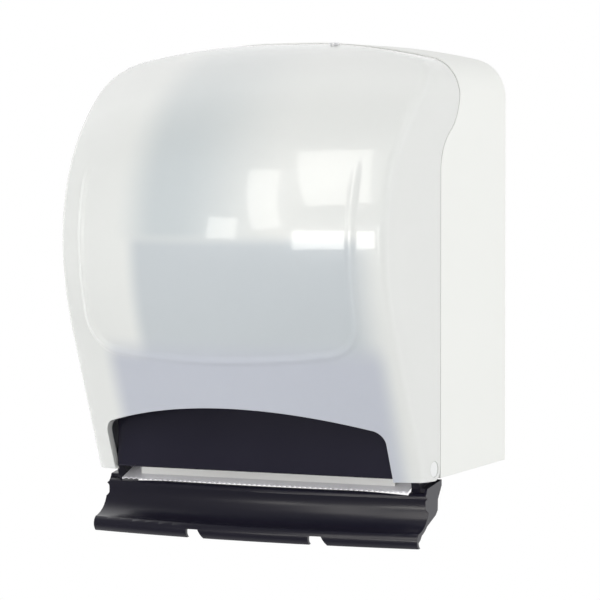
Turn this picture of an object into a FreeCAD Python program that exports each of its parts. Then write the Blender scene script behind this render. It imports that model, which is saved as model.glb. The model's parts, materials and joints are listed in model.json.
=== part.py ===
import FreeCAD, Part
import math
import os

# Lever paper towel dispenser, in millimetres. X is to the right, Y goes into the wall, Z is up.
# The back face is at Y 0, and Z 0 is level with the middle of the wall screws.

# Whole housing. Heights are given above the base, the housing's lower edge at the seam.
base_z = -170.0
body_width = 328.0
front_depth = 229.5
crown_height = 366.0
crown_radius = 640.0
top_corner_radius = 34.0
side_draft_share = 0.0263
bow_radius = 479.5
bulge_height = 200.0
lower_radius = 235.0
lower_lean = math.radians(19.4)
overrun = 20.0
sweep_angle = 100.0
quarter_turn = 90.0
half_width = body_width / 2
bow_axis_y = bow_radius - front_depth
upper_radius = crown_height - bulge_height
crown_z = base_z + crown_height
bulge_z = base_z + bulge_height

# Seam between cover and rear housing
seam_share = 0.4837
seam_top_share = 0.3442
seam_bend_height = 256.0
seam_bend_rise = 66.0
seam_gap = 0.6
seam_depth = front_depth * seam_share
seam_top_depth = front_depth * seam_top_share

# Rear housing
chassis_wall = 3.5
wall_edge_rise = 8.0
floor_share = 0.56
floor_thickness = 3.0
tongue_thickness = 1.7
tongue_reach = 5.0
tongue_clearance = 0.5
tongue_start_height = 70.0
screw_x_share = 0.61
screw_spacing_z = 290.0
wall_screw_radius = 3.25
rib_thickness = 2.4
rib_depth = 5.0
rib_heights = (165.0, 300.0)
rib_share = 0.58
floor_depth = seam_depth * floor_share
floor_slope = wall_edge_rise / seam_depth

# Front cover
cover_wall = 2.8
arch_side_width = 23.3
arch_height = 57.2
arch_radius = 535.0
arch_corner_radius = 12.0
arch_rim_width = 3.0
arch_rim_depth = 6.5
bead_side_width = 29.8
bead_height = 97.5
bead_radius = 850.0
bead_corner_radius = 30.0
bead_width = 6.0
bead_rise = 0.9
bead_top_height = 268.0

# Pivot shared by the cover and the lever
lug_radius = 10.0
pivot_height = 8.0
lug_boss_depth = 2.0
pin_head_radius = 6.45
pin_radius = 3.0
pin_head_recess = 0.5
running_gap = 0.05
air_gap = 0.3
pivot_y = -(seam_depth + seam_gap / 2 + lug_radius)
pivot_z = base_z + pivot_height
cover_bottom_z = pivot_z - lug_radius
lug_x = half_width + pivot_y * side_draft_share
arch_half_width = lug_x - arch_side_width
bead_half_width = lug_x - bead_side_width

# Layers beside the pivot, from the cover's wall inward
lever_side_gap = 1.0
cheek_thickness = 2.3
plate_side_gap = 1.7
plate_thickness = 3.0
arm_side_gap = 0.4
arm_width = 7.6
gear_side_gap = 1.0
clutch_gear_width = 6.0
gear_plane_gap = 1.5
wheel_width = 5.5
guide_side_gap = 2.0
lever_half_width = lug_x - cover_wall - lever_side_gap
plate_outer_x = lever_half_width - cheek_thickness - plate_side_gap
plate_inner_x = plate_outer_x - plate_thickness
arm_outer_x = plate_inner_x - arm_side_gap
arm_inner_x = arm_outer_x - arm_width
clutch_plane_x = arm_inner_x - gear_side_gap - clutch_gear_width
wheel_plane_x = clutch_plane_x - gear_plane_gap - wheel_width
race_inner_x = clutch_plane_x - air_gap

# Side plates. Reaches are measured forward from the pivot.
plate_foot_width = 12.0
plate_lower_height = 34.0
plate_back_height = 150.0
plate_shelf_share = 0.31
plate_shoulder_reach = -9.3
plate_shoulder_height = 128.0
plate_front_reach = 19.7
plate_front_height = 106.0
plate_nose_height = 30.0
nose_radius = 9.5
flange_width = 16.0
flange_bottom_height = 58.0
flange_top_height = 88.0
plate_shelf_y = -seam_depth * plate_shelf_share
plate_shoulder_y = pivot_y - plate_shoulder_reach
plate_front_y = pivot_y - plate_front_reach

# Dark front panel
panel_thickness = 3.5
panel_gap = 0.5
panel_bottom_height = 0.5
panel_knee_height = 42.0
panel_wide_height = 70.0
panel_top_height = 101.0
panel_wide_side = 13.8
panel_top_side = 18.8
panel_softness = 2.4
panel_wide_half = lug_x - panel_wide_side
panel_top_half = lug_x - panel_top_side
panel_back_y = plate_front_y - panel_thickness
panel_front_y = panel_back_y - panel_thickness

# Gears
gear_module = 1.0
clutch_teeth = 20
wheel_teeth = 42
pinion_teeth = 14
addendum_share = 0.8
dedendum_share = 1.1
backlash_share = 0.12
pressure_angle = math.radians(20.0)
idler_direction = math.radians(85.0)
drive_direction = math.radians(36.3)
clutch_radius = 7.4
idler_hub_radius = 5.4
idler_collar_radius = 4.5
clip_thickness = 0.8
clip_wall = 2.0
clip_mouth = 4.4
clutch_gear_radius = gear_module * clutch_teeth / 2
wheel_radius = gear_module * wheel_teeth / 2
pinion_radius = gear_module * pinion_teeth / 2
idler_distance = clutch_gear_radius + pinion_radius
drive_distance = wheel_radius + pinion_radius
idler_y = pivot_y + idler_distance * math.cos(idler_direction)
idler_z = pivot_z + idler_distance * math.sin(idler_direction)
drive_y = idler_y + drive_distance * math.cos(drive_direction)
drive_z = idler_z + drive_distance * math.sin(drive_direction)

# Feed rollers. Places along a roller are shares of half the body's width.
drive_radius = 18.0
ring_thickness = 1.6
ring_width = 22.0
ring_shares = (-0.56, -0.28, 0.0, 0.28, 0.56)
drive_side_gap = 4.0
drive_shaft_radius = 4.0
bush_wall = 2.2
bush_flange = 1.8
bush_flange_thickness = 1.2
knob_radius = 13.0
knob_width = 11.0
knob_flutes = 18
flute_radius = 1.1
pinch_radius = 9.0
pinch_shaft_radius = 2.5
pinch_sleeve_width = 36.0
pinch_shares = (-0.475, 0.0, 0.475)
pinch_block_size = 10.0
pinch_block_lip = 1.4
pinch_block_overlap = 1.6
spring_wire = 0.8
pinch_coil_radius = 2.9
pinch_coil_turns = 5
pinch_coil_pitch = 2.0
pinch_coil_leg = 1.2
nip_direction = math.radians(135.0)
drive_half_length = wheel_plane_x - drive_side_gap
pinch_distance = drive_radius + pinch_radius + air_gap
pinch_y = drive_y + pinch_distance * math.cos(nip_direction)
pinch_z = drive_z + pinch_distance * math.sin(nip_direction)

# Guides, tear bar and cradle
guide_thickness = 2.2
guide_roller_gap = 0.8
guide_top_drop = 2.0
guide_front_share = 0.55
bar_side_gap = 0.7
bar_thickness = 1.2
bar_front_reach = 11.7
bar_front_drop = 20.0
bar_back_reach = 8.3
bar_back_drop = 10.4
bar_seat_share = 0.62
bar_screw_share = 0.3
bar_screw_shares = (-0.64, -0.21, 0.21, 0.64)
tooth_pitch = 5.0
tooth_depth = 1.8
paddle_clearance = 1.0
cradle_radius = 48.0
cradle_thickness = 2.5
cradle_share = 0.56
cradle_height = 118.0
cradle_lip = 10.0
cross_thickness = 3.0
cross_bottom_height = 40.0
cross_top_height = 122.0
guide_half_length = wheel_plane_x - guide_side_gap
bar_half_length = arm_inner_x - bar_side_gap
cradle_y = -seam_depth * cradle_share

# Transfer bar
transfer_setback = 7.0
transfer_height = 98.0
transfer_shaft_radius = 3.0
finger_length = 26.0
finger_width = 7.0
finger_thickness = 3.0
finger_shares = (-0.55, -0.275, 0.0, 0.275, 0.55)
finger_tilt = 15.0
transfer_coil_radius = 3.6
transfer_coil_turns = 4
transfer_coil_pitch = 1.5
transfer_leg = 8.0
transfer_y = plate_front_y + transfer_setback
transfer_z = base_z + transfer_height

# Lever
lever_bow = 15.3
lever_reach = 28.7
lever_drop = 65.0
lever_wall = 3.0
paddle_side = 3.0
paddle_side_reach = 8.5
arm_hub_radius = 9.0
race_radius = 4.5
notch_shares = (-0.348, 0.384)
notch_top_width = 12.0
notch_height = 8.0
notch_slope = 5.0
lever_coil_radius = 5.3
lever_coil_turns = 3
lever_coil_pitch = 1.65
lever_coil_wire = 1.1
lever_coil_leg = 9.0
paddle_spare_turn = 0.5
# Points of the lever's section: share of the reach forward of the pivot, share of the drop below it
front_share = {
    "back_edge": (0.122, 0.300), "crown": (0.240, 0.317), "ridge": (0.310, 0.375),
    "cove": (0.340, 0.580), "lip_top": (0.890, 0.800), "lip": (1.0, 0.892), "lip_foot": (0.906, 0.992),
    "inner_foot": (0.80, 0.985), "inner_lip_through": (0.89, 0.89), "inner_lip": (0.80, 0.84),
    "inner_cove": (0.235, 0.590), "inner_ridge": (0.200, 0.400), "inner_edge": (0.105, 0.345),
}
cheek_share = {
    "rear_top": (-0.697, 0.154), "front_top": (0.174, 0.25), "foot": (0.592, 0.889), "knee": (0.415, 0.785),
    "shin": (-0.345, 0.60), "heel": (-0.460, 0.538), "calf": (-0.470, 0.40), "hip": (-0.697, 0.230),
}

# Roll holders
roll_height = 245.0
roll_share = 0.488
roll_width_share = 0.622
hub_flange_thickness = 2.0
hub_flange_radius = 24.0
hub_root_radius = 18.5
hub_tip_radius = 16.5
hub_length = 12.0
hub_lead = 4.0
hub_pin_radius = 4.0
hub_snap_radius = 5.2
hub_snap_length = 1.6
hub_slit = 1.6
hub_wall = 2.4
holder_thickness = 4.0
holder_root_height = 44.0
holder_end_radius = 15.0
holder_pivot_offset = 6.0
holder_pivot_depth = 13.0
barrel_radius = 5.0
holder_pin_radius = 2.0
ear_thickness = 4.0
ear_half_width = 6.0
holder_coil_radius = 2.6
holder_coil_turns = 4
holder_coil_pitch = 1.5
holder_coil_leg = 8.0
roll_z = base_z + roll_height
roll_y = -front_depth * roll_share
roll_half_width = half_width * roll_width_share
holder_x = roll_half_width + air_gap + holder_thickness + holder_pivot_offset
holder_y = -holder_pivot_depth

# Lock
lock_share = 0.2866
lock_setback = 11.0
lock_head_radius = 4.2
lock_head_rise = 1.4
lock_barrel_radius = 3.4
lock_length = 22.0
lock_plug_radius = 2.0
lock_slot_width = 0.8
lock_slot_depth = 1.0
lock_nut_radius = 6.0
lock_nut_thickness = 4.0
cam_thickness = 2.0
cam_half_width = 3.5
cam_hook_inner = 14.6
cam_hook_outer = 16.6
cam_hook_height = 8.0
strike_thickness = 2.0
strike_gap = 1.0
strike_half_width = 3.5
strike_bridge_drop = 7.7
strike_seat_gap = 7.0
strike_seat_length = 12.0
lock_x = half_width * lock_share
lock_y = -seam_top_depth - lock_setback

# Fasteners
screw_radius = 2.0
screw_head_radius = 3.8
screw_head_height = 2.4
screw_bite = 2.0

X_AXIS = FreeCAD.Vector(1, 0, 0)
Y_AXIS = FreeCAD.Vector(0, 1, 0)
Z_AXIS = FreeCAD.Vector(0, 0, 1)
ORIGIN = FreeCAD.Vector(0, 0, 0)


def vec(x, y, z):
    return FreeCAD.Vector(x, y, z)


def yz(y, z):
    return FreeCAD.Vector(0, y, z)


def xz(x, z):
    return FreeCAD.Vector(x, 0, z)


def box(x_range, y_range, z_range):
    """Block between the given limits."""
    corner = vec(x_range[0], y_range[0], z_range[0])
    return Part.makeBox(x_range[1] - x_range[0], y_range[1] - y_range[0], z_range[1] - z_range[0], corner)


def rod_x(y, z, radius, x_start, x_end):
    return Part.makeCylinder(radius, x_end - x_start, vec(x_start, y, z), X_AXIS)


def rod_y(x, z, radius, y_start, y_end):
    return Part.makeCylinder(radius, y_end - y_start, vec(x, y_start, z), Y_AXIS)


def rod_z(x, y, radius, z_start, z_end):
    return Part.makeCylinder(radius, z_end - z_start, vec(x, y, z_start), Z_AXIS)


def tube_x(y, z, outer, inner, x_start, x_end):
    return rod_x(y, z, outer, x_start, x_end).cut(rod_x(y, z, inner, x_start, x_end))


def outline(start, *steps):
    """Closed wire from start. A step is an end point, or a pair (through, end) for an arc."""
    edges = []
    here = start
    for step in steps:
        if isinstance(step, tuple):
            edges.append(Part.Arc(here, step[0], step[1]).toShape())
            here = step[1]
        else:
            edges.append(Part.LineSegment(here, step).toShape())
            here = step
    if not here.isEqual(start, running_gap):
        edges.append(Part.LineSegment(here, start).toShape())
    return Part.Wire(edges)


def slab(wire, direction, start, end):
    """Solid made by moving a flat wire along a direction, from start to end."""
    face = Part.Face(wire)
    face.translate(direction * start)
    return face.extrude(direction * (end - start))


def mirrored(shape):
    """The same piece on the other side of the middle plane."""
    return shape.mirror(ORIGIN, X_AXIS)


def both_sides(shape):
    return [shape, mirrored(shape)]


def joined(shapes):
    """One solid made of touching or overlapping solids."""
    result = shapes[0]
    for shape in shapes[1:]:
        result = result.fuse(shape)
    return result.removeSplitter()


def save(name, shape):
    """Writes one node. A list of solids is kept as a group."""
    if isinstance(shape, list):
        shape = Part.makeCompound(shape)
    shape.exportStep("parts/" + name + ".step")
    print(name, len(shape.Solids), round(shape.Volume), shape.isValid())


# Springs: a tube swept along pairs of arcs


def arc_from(start, tangent, end):
    """Arc from start to end that leaves start along the tangent."""
    chord = end - start
    along = FreeCAD.Vector(chord).normalize()
    side = tangent - along * tangent.dot(along)
    side.normalize()
    turn = tangent.getAngle(along)
    middle = (start + end) * 0.5 + side * (chord.Length / 2 * math.tan(turn / 2))
    return Part.Arc(start, middle, end).toShape()


def biarc(start, leaving, end, arriving):
    """Two arcs that join two points and follow both tangents."""
    chord = end - start
    total = leaving + arriving
    spread = 2 * (1 - leaving.dot(arriving))
    reach = chord.dot(total)
    length = (math.sqrt(reach * reach + spread * chord.dot(chord)) - reach) / spread
    knot = (start + leaving * length + end - arriving * length) * 0.5
    first = arc_from(start, leaving, knot)
    second = arc_from(knot, (knot - start - leaving * length).normalize(), end)
    return [first, second]


def coil_point(radius, pitch, angle):
    return vec(radius * math.cos(angle), radius * math.sin(angle), pitch * angle / (2 * math.pi))


def coil_tangent(radius, pitch, angle):
    rise = pitch / (2 * math.pi)
    return vec(-radius * math.sin(angle), radius * math.cos(angle), rise).normalize()


def leg_rise(radius, pitch, leg):
    """Height that one straight leg adds to a coil."""
    return leg * pitch / math.hypot(2 * math.pi * radius, pitch)


def coil_height(radius, pitch, turns, wire, leg):
    """Whole height of a spring made by coil, with its legs."""
    return turns * pitch + wire + 2 * leg_rise(radius, pitch, leg)


def coil(radius, pitch, turns, wire, leg, name):
    """Coil spring about Z, standing on height zero, with a straight leg at each end."""
    steps = turns * 4
    quarter = math.pi / 2
    first = coil_point(radius, pitch, 0)
    last = coil_point(radius, pitch, steps * quarter)
    leaving = coil_tangent(radius, pitch, 0)
    arriving = coil_tangent(radius, pitch, steps * quarter)
    edges = [Part.LineSegment(first - leaving * leg, first).toShape()]
    for step in range(steps):
        angles = (step * quarter, (step + 1) * quarter)
        points = [coil_point(radius, pitch, angle) for angle in angles]
        tangents = [coil_tangent(radius, pitch, angle) for angle in angles]
        edges += biarc(points[0], tangents[0], points[1], tangents[1])
    edges.append(Part.LineSegment(last, last + arriving * leg).toShape())
    path = Part.Wire(edges)
    section = Part.Wire([Part.Circle(first - leaving * leg, leaving, wire / 2).toShape()])
    print(name, "least gap between turns", round(pitch - wire, 2))
    spring = path.makePipeShell([section], True, False)
    spring.translate(vec(0, 0, leg_rise(radius, pitch, leg) + wire / 2))
    return spring


# Gears


def involute(angle):
    return math.tan(angle) - angle


def gear(teeth, y, z, x_start, x_end, first_tooth):
    """Spur gear along X with one tooth centred at the angle first_tooth from +Y towards +Z."""
    pitch_radius = gear_module * teeth / 2
    base_radius = pitch_radius * math.cos(pressure_angle)
    tip_radius = pitch_radius + gear_module * addendum_share
    root_radius = pitch_radius - gear_module * dedendum_share
    start_radius = max(base_radius, root_radius)
    half_at_pitch = (math.pi - backlash_share) / (2 * teeth)

    def half_tooth(radius):
        angle = math.acos(min(1, base_radius / radius))
        return half_at_pitch + involute(pressure_angle) - involute(angle)

    def spot(radius, angle):
        return yz(y + radius * math.cos(angle), z + radius * math.sin(angle))

    step = 2 * math.pi / teeth
    middle_radius = (start_radius + tip_radius) / 2
    edges = []
    for number in range(teeth):
        centre = first_tooth + number * step
        root = half_tooth(start_radius)
        tip = half_tooth(tip_radius)
        middle = half_tooth(middle_radius)
        points = [
            spot(root_radius, centre - root), spot(start_radius, centre - root),
            spot(middle_radius, centre - middle), spot(tip_radius, centre - tip),
            spot(tip_radius, centre), spot(tip_radius, centre + tip),
            spot(middle_radius, centre + middle), spot(start_radius, centre + root),
            spot(root_radius, centre + root), spot(root_radius, centre + step / 2),
            spot(root_radius, centre + step - root),
        ]
        if start_radius > root_radius:
            edges.append(Part.LineSegment(points[0], points[1]).toShape())
        edges.append(Part.Arc(points[1], points[2], points[3]).toShape())
        edges.append(Part.Arc(points[3], points[4], points[5]).toShape())
        edges.append(Part.Arc(points[5], points[6], points[7]).toShape())
        if start_radius > root_radius:
            edges.append(Part.LineSegment(points[7], points[8]).toShape())
        edges.append(Part.Arc(points[8], points[9], points[10]).toShape())
    return slab(Part.Wire(edges), X_AXIS, x_start, x_end)


# Housing


def crowned_outline(half, top_z, crown, corner, bottom_z):
    """Closed outline in the XZ plane: straight sides, rounded corners and a crowned end at top_z."""
    way = 1 if top_z > bottom_z else -1
    centre_z = top_z - way * crown
    offset = crown - corner
    corner_x = half - corner
    rise = math.sqrt(offset * offset - corner_x * corner_x)
    corner_z = centre_z + way * rise
    meet_x = corner_x * crown / offset
    meet_z = centre_z + way * rise * crown / offset
    turn = math.atan2(rise, corner_x) / 2
    through_x = corner_x + corner * math.cos(turn)
    through_z = corner_z + way * corner * math.sin(turn)
    return outline(
        xz(-half, bottom_z), xz(-half, corner_z),
        (xz(-through_x, through_z), xz(-meet_x, meet_z)),
        (xz(0, top_z), xz(meet_x, meet_z)),
        (xz(through_x, through_z), xz(half, corner_z)),
        xz(half, bottom_z),
    )


def envelope(inset, bottom_z):
    """Drafted tunnel shape of the housing, seen from the front, from the wall to past the front."""
    far = front_depth + overrun
    wires = []
    for depth in (0, far):
        half = half_width - inset - depth * side_draft_share
        wire = crowned_outline(
            half, crown_z - inset, crown_radius - inset, top_corner_radius - inset, bottom_z)
        wire.translate(vec(0, -depth, 0))
        wires.append(wire)
    return Part.makeLoft(wires, True, True)


def bowed_front(inset, bottom_z):
    """Solid behind the bowed front skin, turned about the upright bow axis."""
    centre_y = upper_radius - front_depth
    low_y = lower_radius - front_depth
    upper = upper_radius - inset
    lower = lower_radius - inset
    tangent = yz(low_y - lower * math.cos(lower_lean), bulge_z - lower * math.sin(lower_lean))
    run = tangent.z - bottom_z
    foot = yz(tangent.y + run * math.tan(lower_lean), bottom_z)
    half_lean = lower_lean / 2
    through_low = yz(low_y - lower * math.cos(half_lean), bulge_z - lower * math.sin(half_lean))
    eighth = math.pi / 4
    through_up = yz(centre_y - upper * math.cos(eighth), bulge_z + upper * math.sin(eighth))
    deepest = yz(centre_y - upper, bulge_z)
    top = yz(centre_y, bulge_z + upper)
    wire = outline(
        yz(bow_axis_y, bottom_z), foot, tangent, (through_low, deepest), (through_up, top),
        yz(bow_axis_y, bulge_z + upper),
    )
    face = Part.Face(wire)
    axis_point = yz(bow_axis_y, 0)
    face.rotate(axis_point, Z_AXIS, -sweep_angle / 2)
    return face.revolve(axis_point, Z_AXIS, sweep_angle)


def housing_body(inset, bottom_z):
    """Closed body of the whole housing at a depth under its outer skin."""
    return envelope(inset, bottom_z).common(bowed_front(inset, bottom_z))


def front_of_seam(gap):
    """Space in front of the seam, pulled back from it by a gap."""
    low_y = -seam_depth - gap
    high_y = -seam_top_depth - gap
    bend_z = base_z + seam_bend_height
    top_z = bend_z + seam_bend_rise
    middle = yz((low_y + high_y) / 2, (bend_z + top_z) / 2)
    shift = seam_depth - seam_top_depth
    radius = (shift * shift + seam_bend_rise * seam_bend_rise) / (4 * shift)
    half_turn = math.atan2(shift, seam_bend_rise)
    lower = yz(low_y + radius * (1 - math.cos(half_turn)), bend_z + radius * math.sin(half_turn))
    upper = yz(high_y - radius * (1 - math.cos(half_turn)), top_z - radius * math.sin(half_turn))
    front_y = -front_depth - overrun
    roof_z = crown_z + overrun
    floor_z = cover_bottom_z - overrun
    wire = outline(
        yz(low_y, floor_z), yz(low_y, bend_z), (lower, middle), (upper, yz(high_y, top_z)),
        yz(high_y, roof_z), yz(front_y, roof_z), yz(front_y, floor_z),
    )
    reach = half_width + overrun
    return slab(wire, X_AXIS, -reach, reach)


def make_cover():
    """Translucent front shell with its bead, arched opening and pivot lugs."""
    low_z = cover_bottom_z - overrun
    outer = housing_body(0, cover_bottom_z)
    inner = housing_body(cover_wall, low_z)
    shell = outer.cut(inner).common(front_of_seam(seam_gap / 2))
    front_y = -front_depth - overrun
    arch_z = base_z + arch_height
    arch = slab(
        crowned_outline(arch_half_width, arch_z, arch_radius, arch_corner_radius, low_z),
        Y_AXIS, front_y, pivot_y - lug_radius)
    rim_area = slab(
        crowned_outline(arch_half_width + arch_rim_width, arch_z + arch_rim_width,
                        arch_radius + arch_rim_width, arch_corner_radius + arch_rim_width,
                        cover_bottom_z),
        Y_AXIS, front_y, pivot_y - lug_radius)
    rim = rim_area.common(bowed_front(cover_wall / 2, cover_bottom_z).cut(bowed_front(arch_rim_depth, low_z)))
    bead_area = slab(
        crowned_outline(bead_half_width + bead_width / 2, base_z + bead_height - bead_width / 2, bead_radius,
                        bead_corner_radius + bead_width / 2, base_z + bead_top_height),
        Y_AXIS, front_y, -seam_depth - overrun)
    bead_hole = slab(
        crowned_outline(bead_half_width - bead_width / 2, base_z + bead_height + bead_width / 2,
                        bead_radius - bead_width, bead_corner_radius - bead_width / 2, crown_z),
        Y_AXIS, front_y, -seam_depth)
    bead = bead_area.cut(bead_hole).common(
        bowed_front(-bead_rise, cover_bottom_z).cut(bowed_front(cover_wall / 2, low_z)))
    boss = rod_x(pivot_y, pivot_z, lug_radius, lug_x - cover_wall - lug_boss_depth, lug_x - cover_wall / 2)
    corner = box((-half_width, half_width), (pivot_y, -seam_top_depth), (low_z, pivot_z))
    corner = corner.cut(rod_x(pivot_y, pivot_z, lug_radius, -half_width, half_width))
    cover = joined([shell, rim, bead] + both_sides(boss)).cut(arch).cut(corner)
    hole = rod_x(pivot_y, pivot_z, pin_head_radius + running_gap, -half_width, half_width)
    lock_hole = rod_z(lock_x, lock_y, lock_barrel_radius, bulge_z, crown_z)
    return cover.cut(hole).cut(lock_hole).cut(bar_space())


def screw_holes(radius, y_start, y_end):
    holes = []
    for x in (-half_width * screw_x_share, half_width * screw_x_share):
        for z in (-screw_spacing_z / 2, screw_spacing_z / 2):
            holes.append(rod_y(x, z, radius, y_start, y_end))
    return holes


def holder_ear(z_start):
    """Lug of the rear housing that carries one end of a roll arm's pin."""
    z_end = z_start + ear_thickness
    x_range = (holder_x - ear_half_width, holder_x + ear_half_width)
    ear = box(x_range, (holder_y, -chassis_wall / 2), (z_start, z_end))
    ear = ear.fuse(rod_z(holder_x, holder_y, ear_half_width, z_start, z_end))
    return ear.cut(rod_z(holder_x, holder_y, holder_pin_radius, z_start, z_end))


def floor_level(y, lift):
    """Point on the sloping floor's underside at y, lifted upward."""
    return yz(y, base_z + (seam_depth + y) * floor_slope + lift)


def make_chassis():
    """Rear housing: side walls, crown, wall plate, short floor, tongue along the seam and roll arm ears."""
    low_z = base_z - overrun
    outer = housing_body(0, low_z)
    inner = housing_body(chassis_wall, low_z - overrun)
    reach = half_width + overrun
    roof_z = crown_z + overrun
    inner = inner.common(box((-reach, reach), (-front_depth - overrun, -chassis_wall), (low_z - overrun, roof_z)))
    behind = box((-reach, reach), (-front_depth - overrun, overrun), (low_z, roof_z))
    behind = behind.cut(front_of_seam(-seam_gap / 2))
    shell = outer.cut(inner).common(behind)
    tongue_outer = cover_wall + tongue_clearance
    ring = housing_body(tongue_outer, low_z).cut(housing_body(tongue_outer + tongue_thickness, low_z - overrun))
    strip = front_of_seam(-tongue_reach).cut(front_of_seam(tongue_reach))
    above = box((-reach, reach), (-front_depth, 0), (base_z + tongue_start_height, roof_z))
    tongue = ring.common(strip).common(above)
    front_y = -seam_depth - overrun
    under = outline(
        floor_level(front_y, 0), floor_level(overrun, 0),
        yz(overrun, low_z - overrun), yz(front_y, low_z - overrun))
    inside = half_width - chassis_wall / 2 - floor_depth * side_draft_share
    back_y = -chassis_wall / 2
    floor = slab(
        outline(floor_level(-floor_depth, 0), floor_level(back_y, 0),
                floor_level(back_y, floor_thickness), floor_level(-floor_depth, floor_thickness)),
        X_AXIS, -inside, inside)
    pieces = [shell, tongue, floor]
    for height in rib_heights:
        z = base_z + height
        pieces.append(box((-half_width * rib_share, half_width * rib_share),
                          (-chassis_wall - rib_depth, -chassis_wall / 2), (z, z + rib_thickness)))
    half = holder_root_height / 2 + air_gap
    for ear in (holder_ear(roll_z + half + holder_coil_height()), holder_ear(roll_z - half - ear_thickness)):
        pieces += both_sides(ear)
    chassis = joined(pieces).cut(slab(under, X_AXIS, -reach, reach))
    for hole in screw_holes(wall_screw_radius, -chassis_wall - rib_depth, overrun):
        chassis = chassis.cut(hole)
    for x, z in plate_screw_spots():
        for side in (-x, x):
            chassis = chassis.cut(rod_y(side, z, screw_radius, -chassis_wall, -chassis_wall + screw_bite))
    return chassis


def make_hinge_pin():
    """Stepped pin of the right side: the head turns in the cover, the shank carries the lever."""
    head = rod_x(pivot_y, pivot_z, pin_head_radius, plate_outer_x, lug_x - pin_head_recess)
    shank = rod_x(pivot_y, pivot_z, pin_radius, race_inner_x - air_gap, plate_outer_x)
    return joined([head, shank])


# Frame of the feed mechanism


def plate_outline():
    """Side view of a side plate: body behind, nose down to the pivot."""
    back_y = -chassis_wall
    lower_z = base_z + plate_lower_height
    return outline(
        yz(back_y, lower_z), yz(back_y, base_z + plate_back_height),
        yz(plate_shelf_y, base_z + plate_back_height),
        yz(plate_shoulder_y, base_z + plate_shoulder_height),
        yz(plate_front_y, base_z + plate_front_height),
        yz(plate_front_y, base_z + plate_nose_height),
        yz(pivot_y - nose_radius, pivot_z),
        (yz(pivot_y, pivot_z - nose_radius), yz(pivot_y + nose_radius, pivot_z)),
        yz(pivot_y + nose_radius, lower_z),
    )


def pinch_coil_height():
    return coil_height(pinch_coil_radius, pinch_coil_pitch, pinch_coil_turns, spring_wire, pinch_coil_leg)


def holder_coil_height():
    return coil_height(holder_coil_radius, holder_coil_pitch, holder_coil_turns, spring_wire, holder_coil_leg)


def transfer_coil_height():
    return coil_height(transfer_coil_radius, transfer_coil_pitch, transfer_coil_turns, spring_wire, transfer_leg)


def make_side_plate():
    """Side plate with its foot, front flange, bores and the slot for the pinch block."""
    plate = slab(plate_outline(), X_AXIS, plate_inner_x, plate_outer_x)
    foot = box((plate_inner_x - plate_foot_width, plate_outer_x),
               (-chassis_wall - plate_thickness, -chassis_wall),
               (base_z + cross_top_height + plate_thickness, base_z + plate_back_height))
    flange = box((plate_outer_x - flange_width, plate_outer_x),
                 (panel_back_y, plate_front_y + plate_thickness),
                 (base_z + flange_bottom_height, base_z + flange_top_height))
    plate = joined([plate, foot, flange])
    bores = (
        (pivot_y, pivot_z, pin_radius),
        (idler_y, idler_z, pin_radius),
        (drive_y, drive_z, drive_shaft_radius + running_gap + bush_wall),
        (transfer_y, transfer_z, transfer_shaft_radius + running_gap),
    )
    for y, z, radius in bores:
        plate = plate.cut(rod_x(y, z, radius, plate_inner_x, plate_outer_x))
    half = pinch_block_size / 2 + running_gap
    slot = box((plate_inner_x, plate_outer_x), (pinch_y - half, pinch_y + half),
               (pinch_z - pinch_block_size / 2, pinch_z + pinch_block_size / 2 + pinch_coil_height()))
    plate = plate.cut(slot)
    for x, z in foot_screw_spots():
        plate = plate.cut(rod_y(x, z, screw_radius, -overrun, 0))
    for x, z in panel_screw_spots():
        plate = plate.cut(rod_y(x, z, screw_radius, panel_back_y, panel_back_y + overrun))
    return plate


def foot_screw_spots():
    """Right-hand screw through the side plate's foot, as X and Z."""
    inset = plate_foot_width / 2
    return [(plate_inner_x - inset, base_z + plate_back_height - inset)]


def plate_screw_spots():
    """Right-hand screws of the side plate's foot and of the cross plate, as X and Z."""
    middle = base_z + (cross_bottom_height + cross_top_height) / 2
    return foot_screw_spots() + [(half_width * screw_x_share, middle)]


def panel_screw_spots():
    """Right-hand screws through the side plate's front flange, as X and Z."""
    x = plate_outer_x - flange_width + screw_head_radius + air_gap
    top = base_z + flange_top_height - screw_head_radius
    bottom = base_z + flange_bottom_height + screw_head_radius
    return [(x, bottom), (x, top)]


def screw(head_y, x, z, way, length):
    """Screw along Y: its head rests at head_y on the side given by way, its shank goes the other way."""
    head_end = head_y + way * screw_head_height
    socket_end = head_y + way * screw_head_height / 2
    tip = head_y - way * length
    head = rod_y(x, z, screw_head_radius, min(head_y, head_end), max(head_y, head_end))
    shank = rod_y(x, z, screw_radius, min(head_y, tip), max(head_y, tip))
    socket = rod_y(x, z, screw_radius, min(socket_end, head_end), max(socket_end, head_end))
    return joined([head, shank]).cut(socket)


def make_plate_screws():
    """Screws that hold the feet and the cross plate to the wall plate of the housing."""
    screws = []
    for x, z in plate_screw_spots():
        piece = screw(-chassis_wall - plate_thickness, x, z, -1, plate_thickness + screw_bite)
        screws += both_sides(piece)
    return screws


def make_panel():
    """Dark panel that shows through the arch; it widens above the cover's legs."""
    half = arch_half_width - panel_gap
    low_z = base_z + panel_bottom_height
    knee_z = base_z + panel_knee_height
    wide_z = base_z + panel_wide_height
    top_z = base_z + panel_top_height
    wire = outline(
        xz(-half, low_z), xz(-half, knee_z), xz(-panel_wide_half, wide_z), xz(-panel_top_half, top_z),
        xz(panel_top_half, top_z), xz(panel_wide_half, wide_z), xz(half, knee_z), xz(half, low_z))
    panel = slab(wire, Y_AXIS, panel_front_y, panel_back_y)
    edges = [edge for edge in panel.Edges if edge.BoundBox.YMax < panel_back_y - panel_gap]
    panel = panel.makeFillet(panel_softness, edges)
    for x, z in panel_screw_spots():
        for side in (-x, x):
            panel = panel.cut(rod_y(side, z, screw_radius, panel_back_y - screw_bite, panel_back_y))
    return panel


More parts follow.
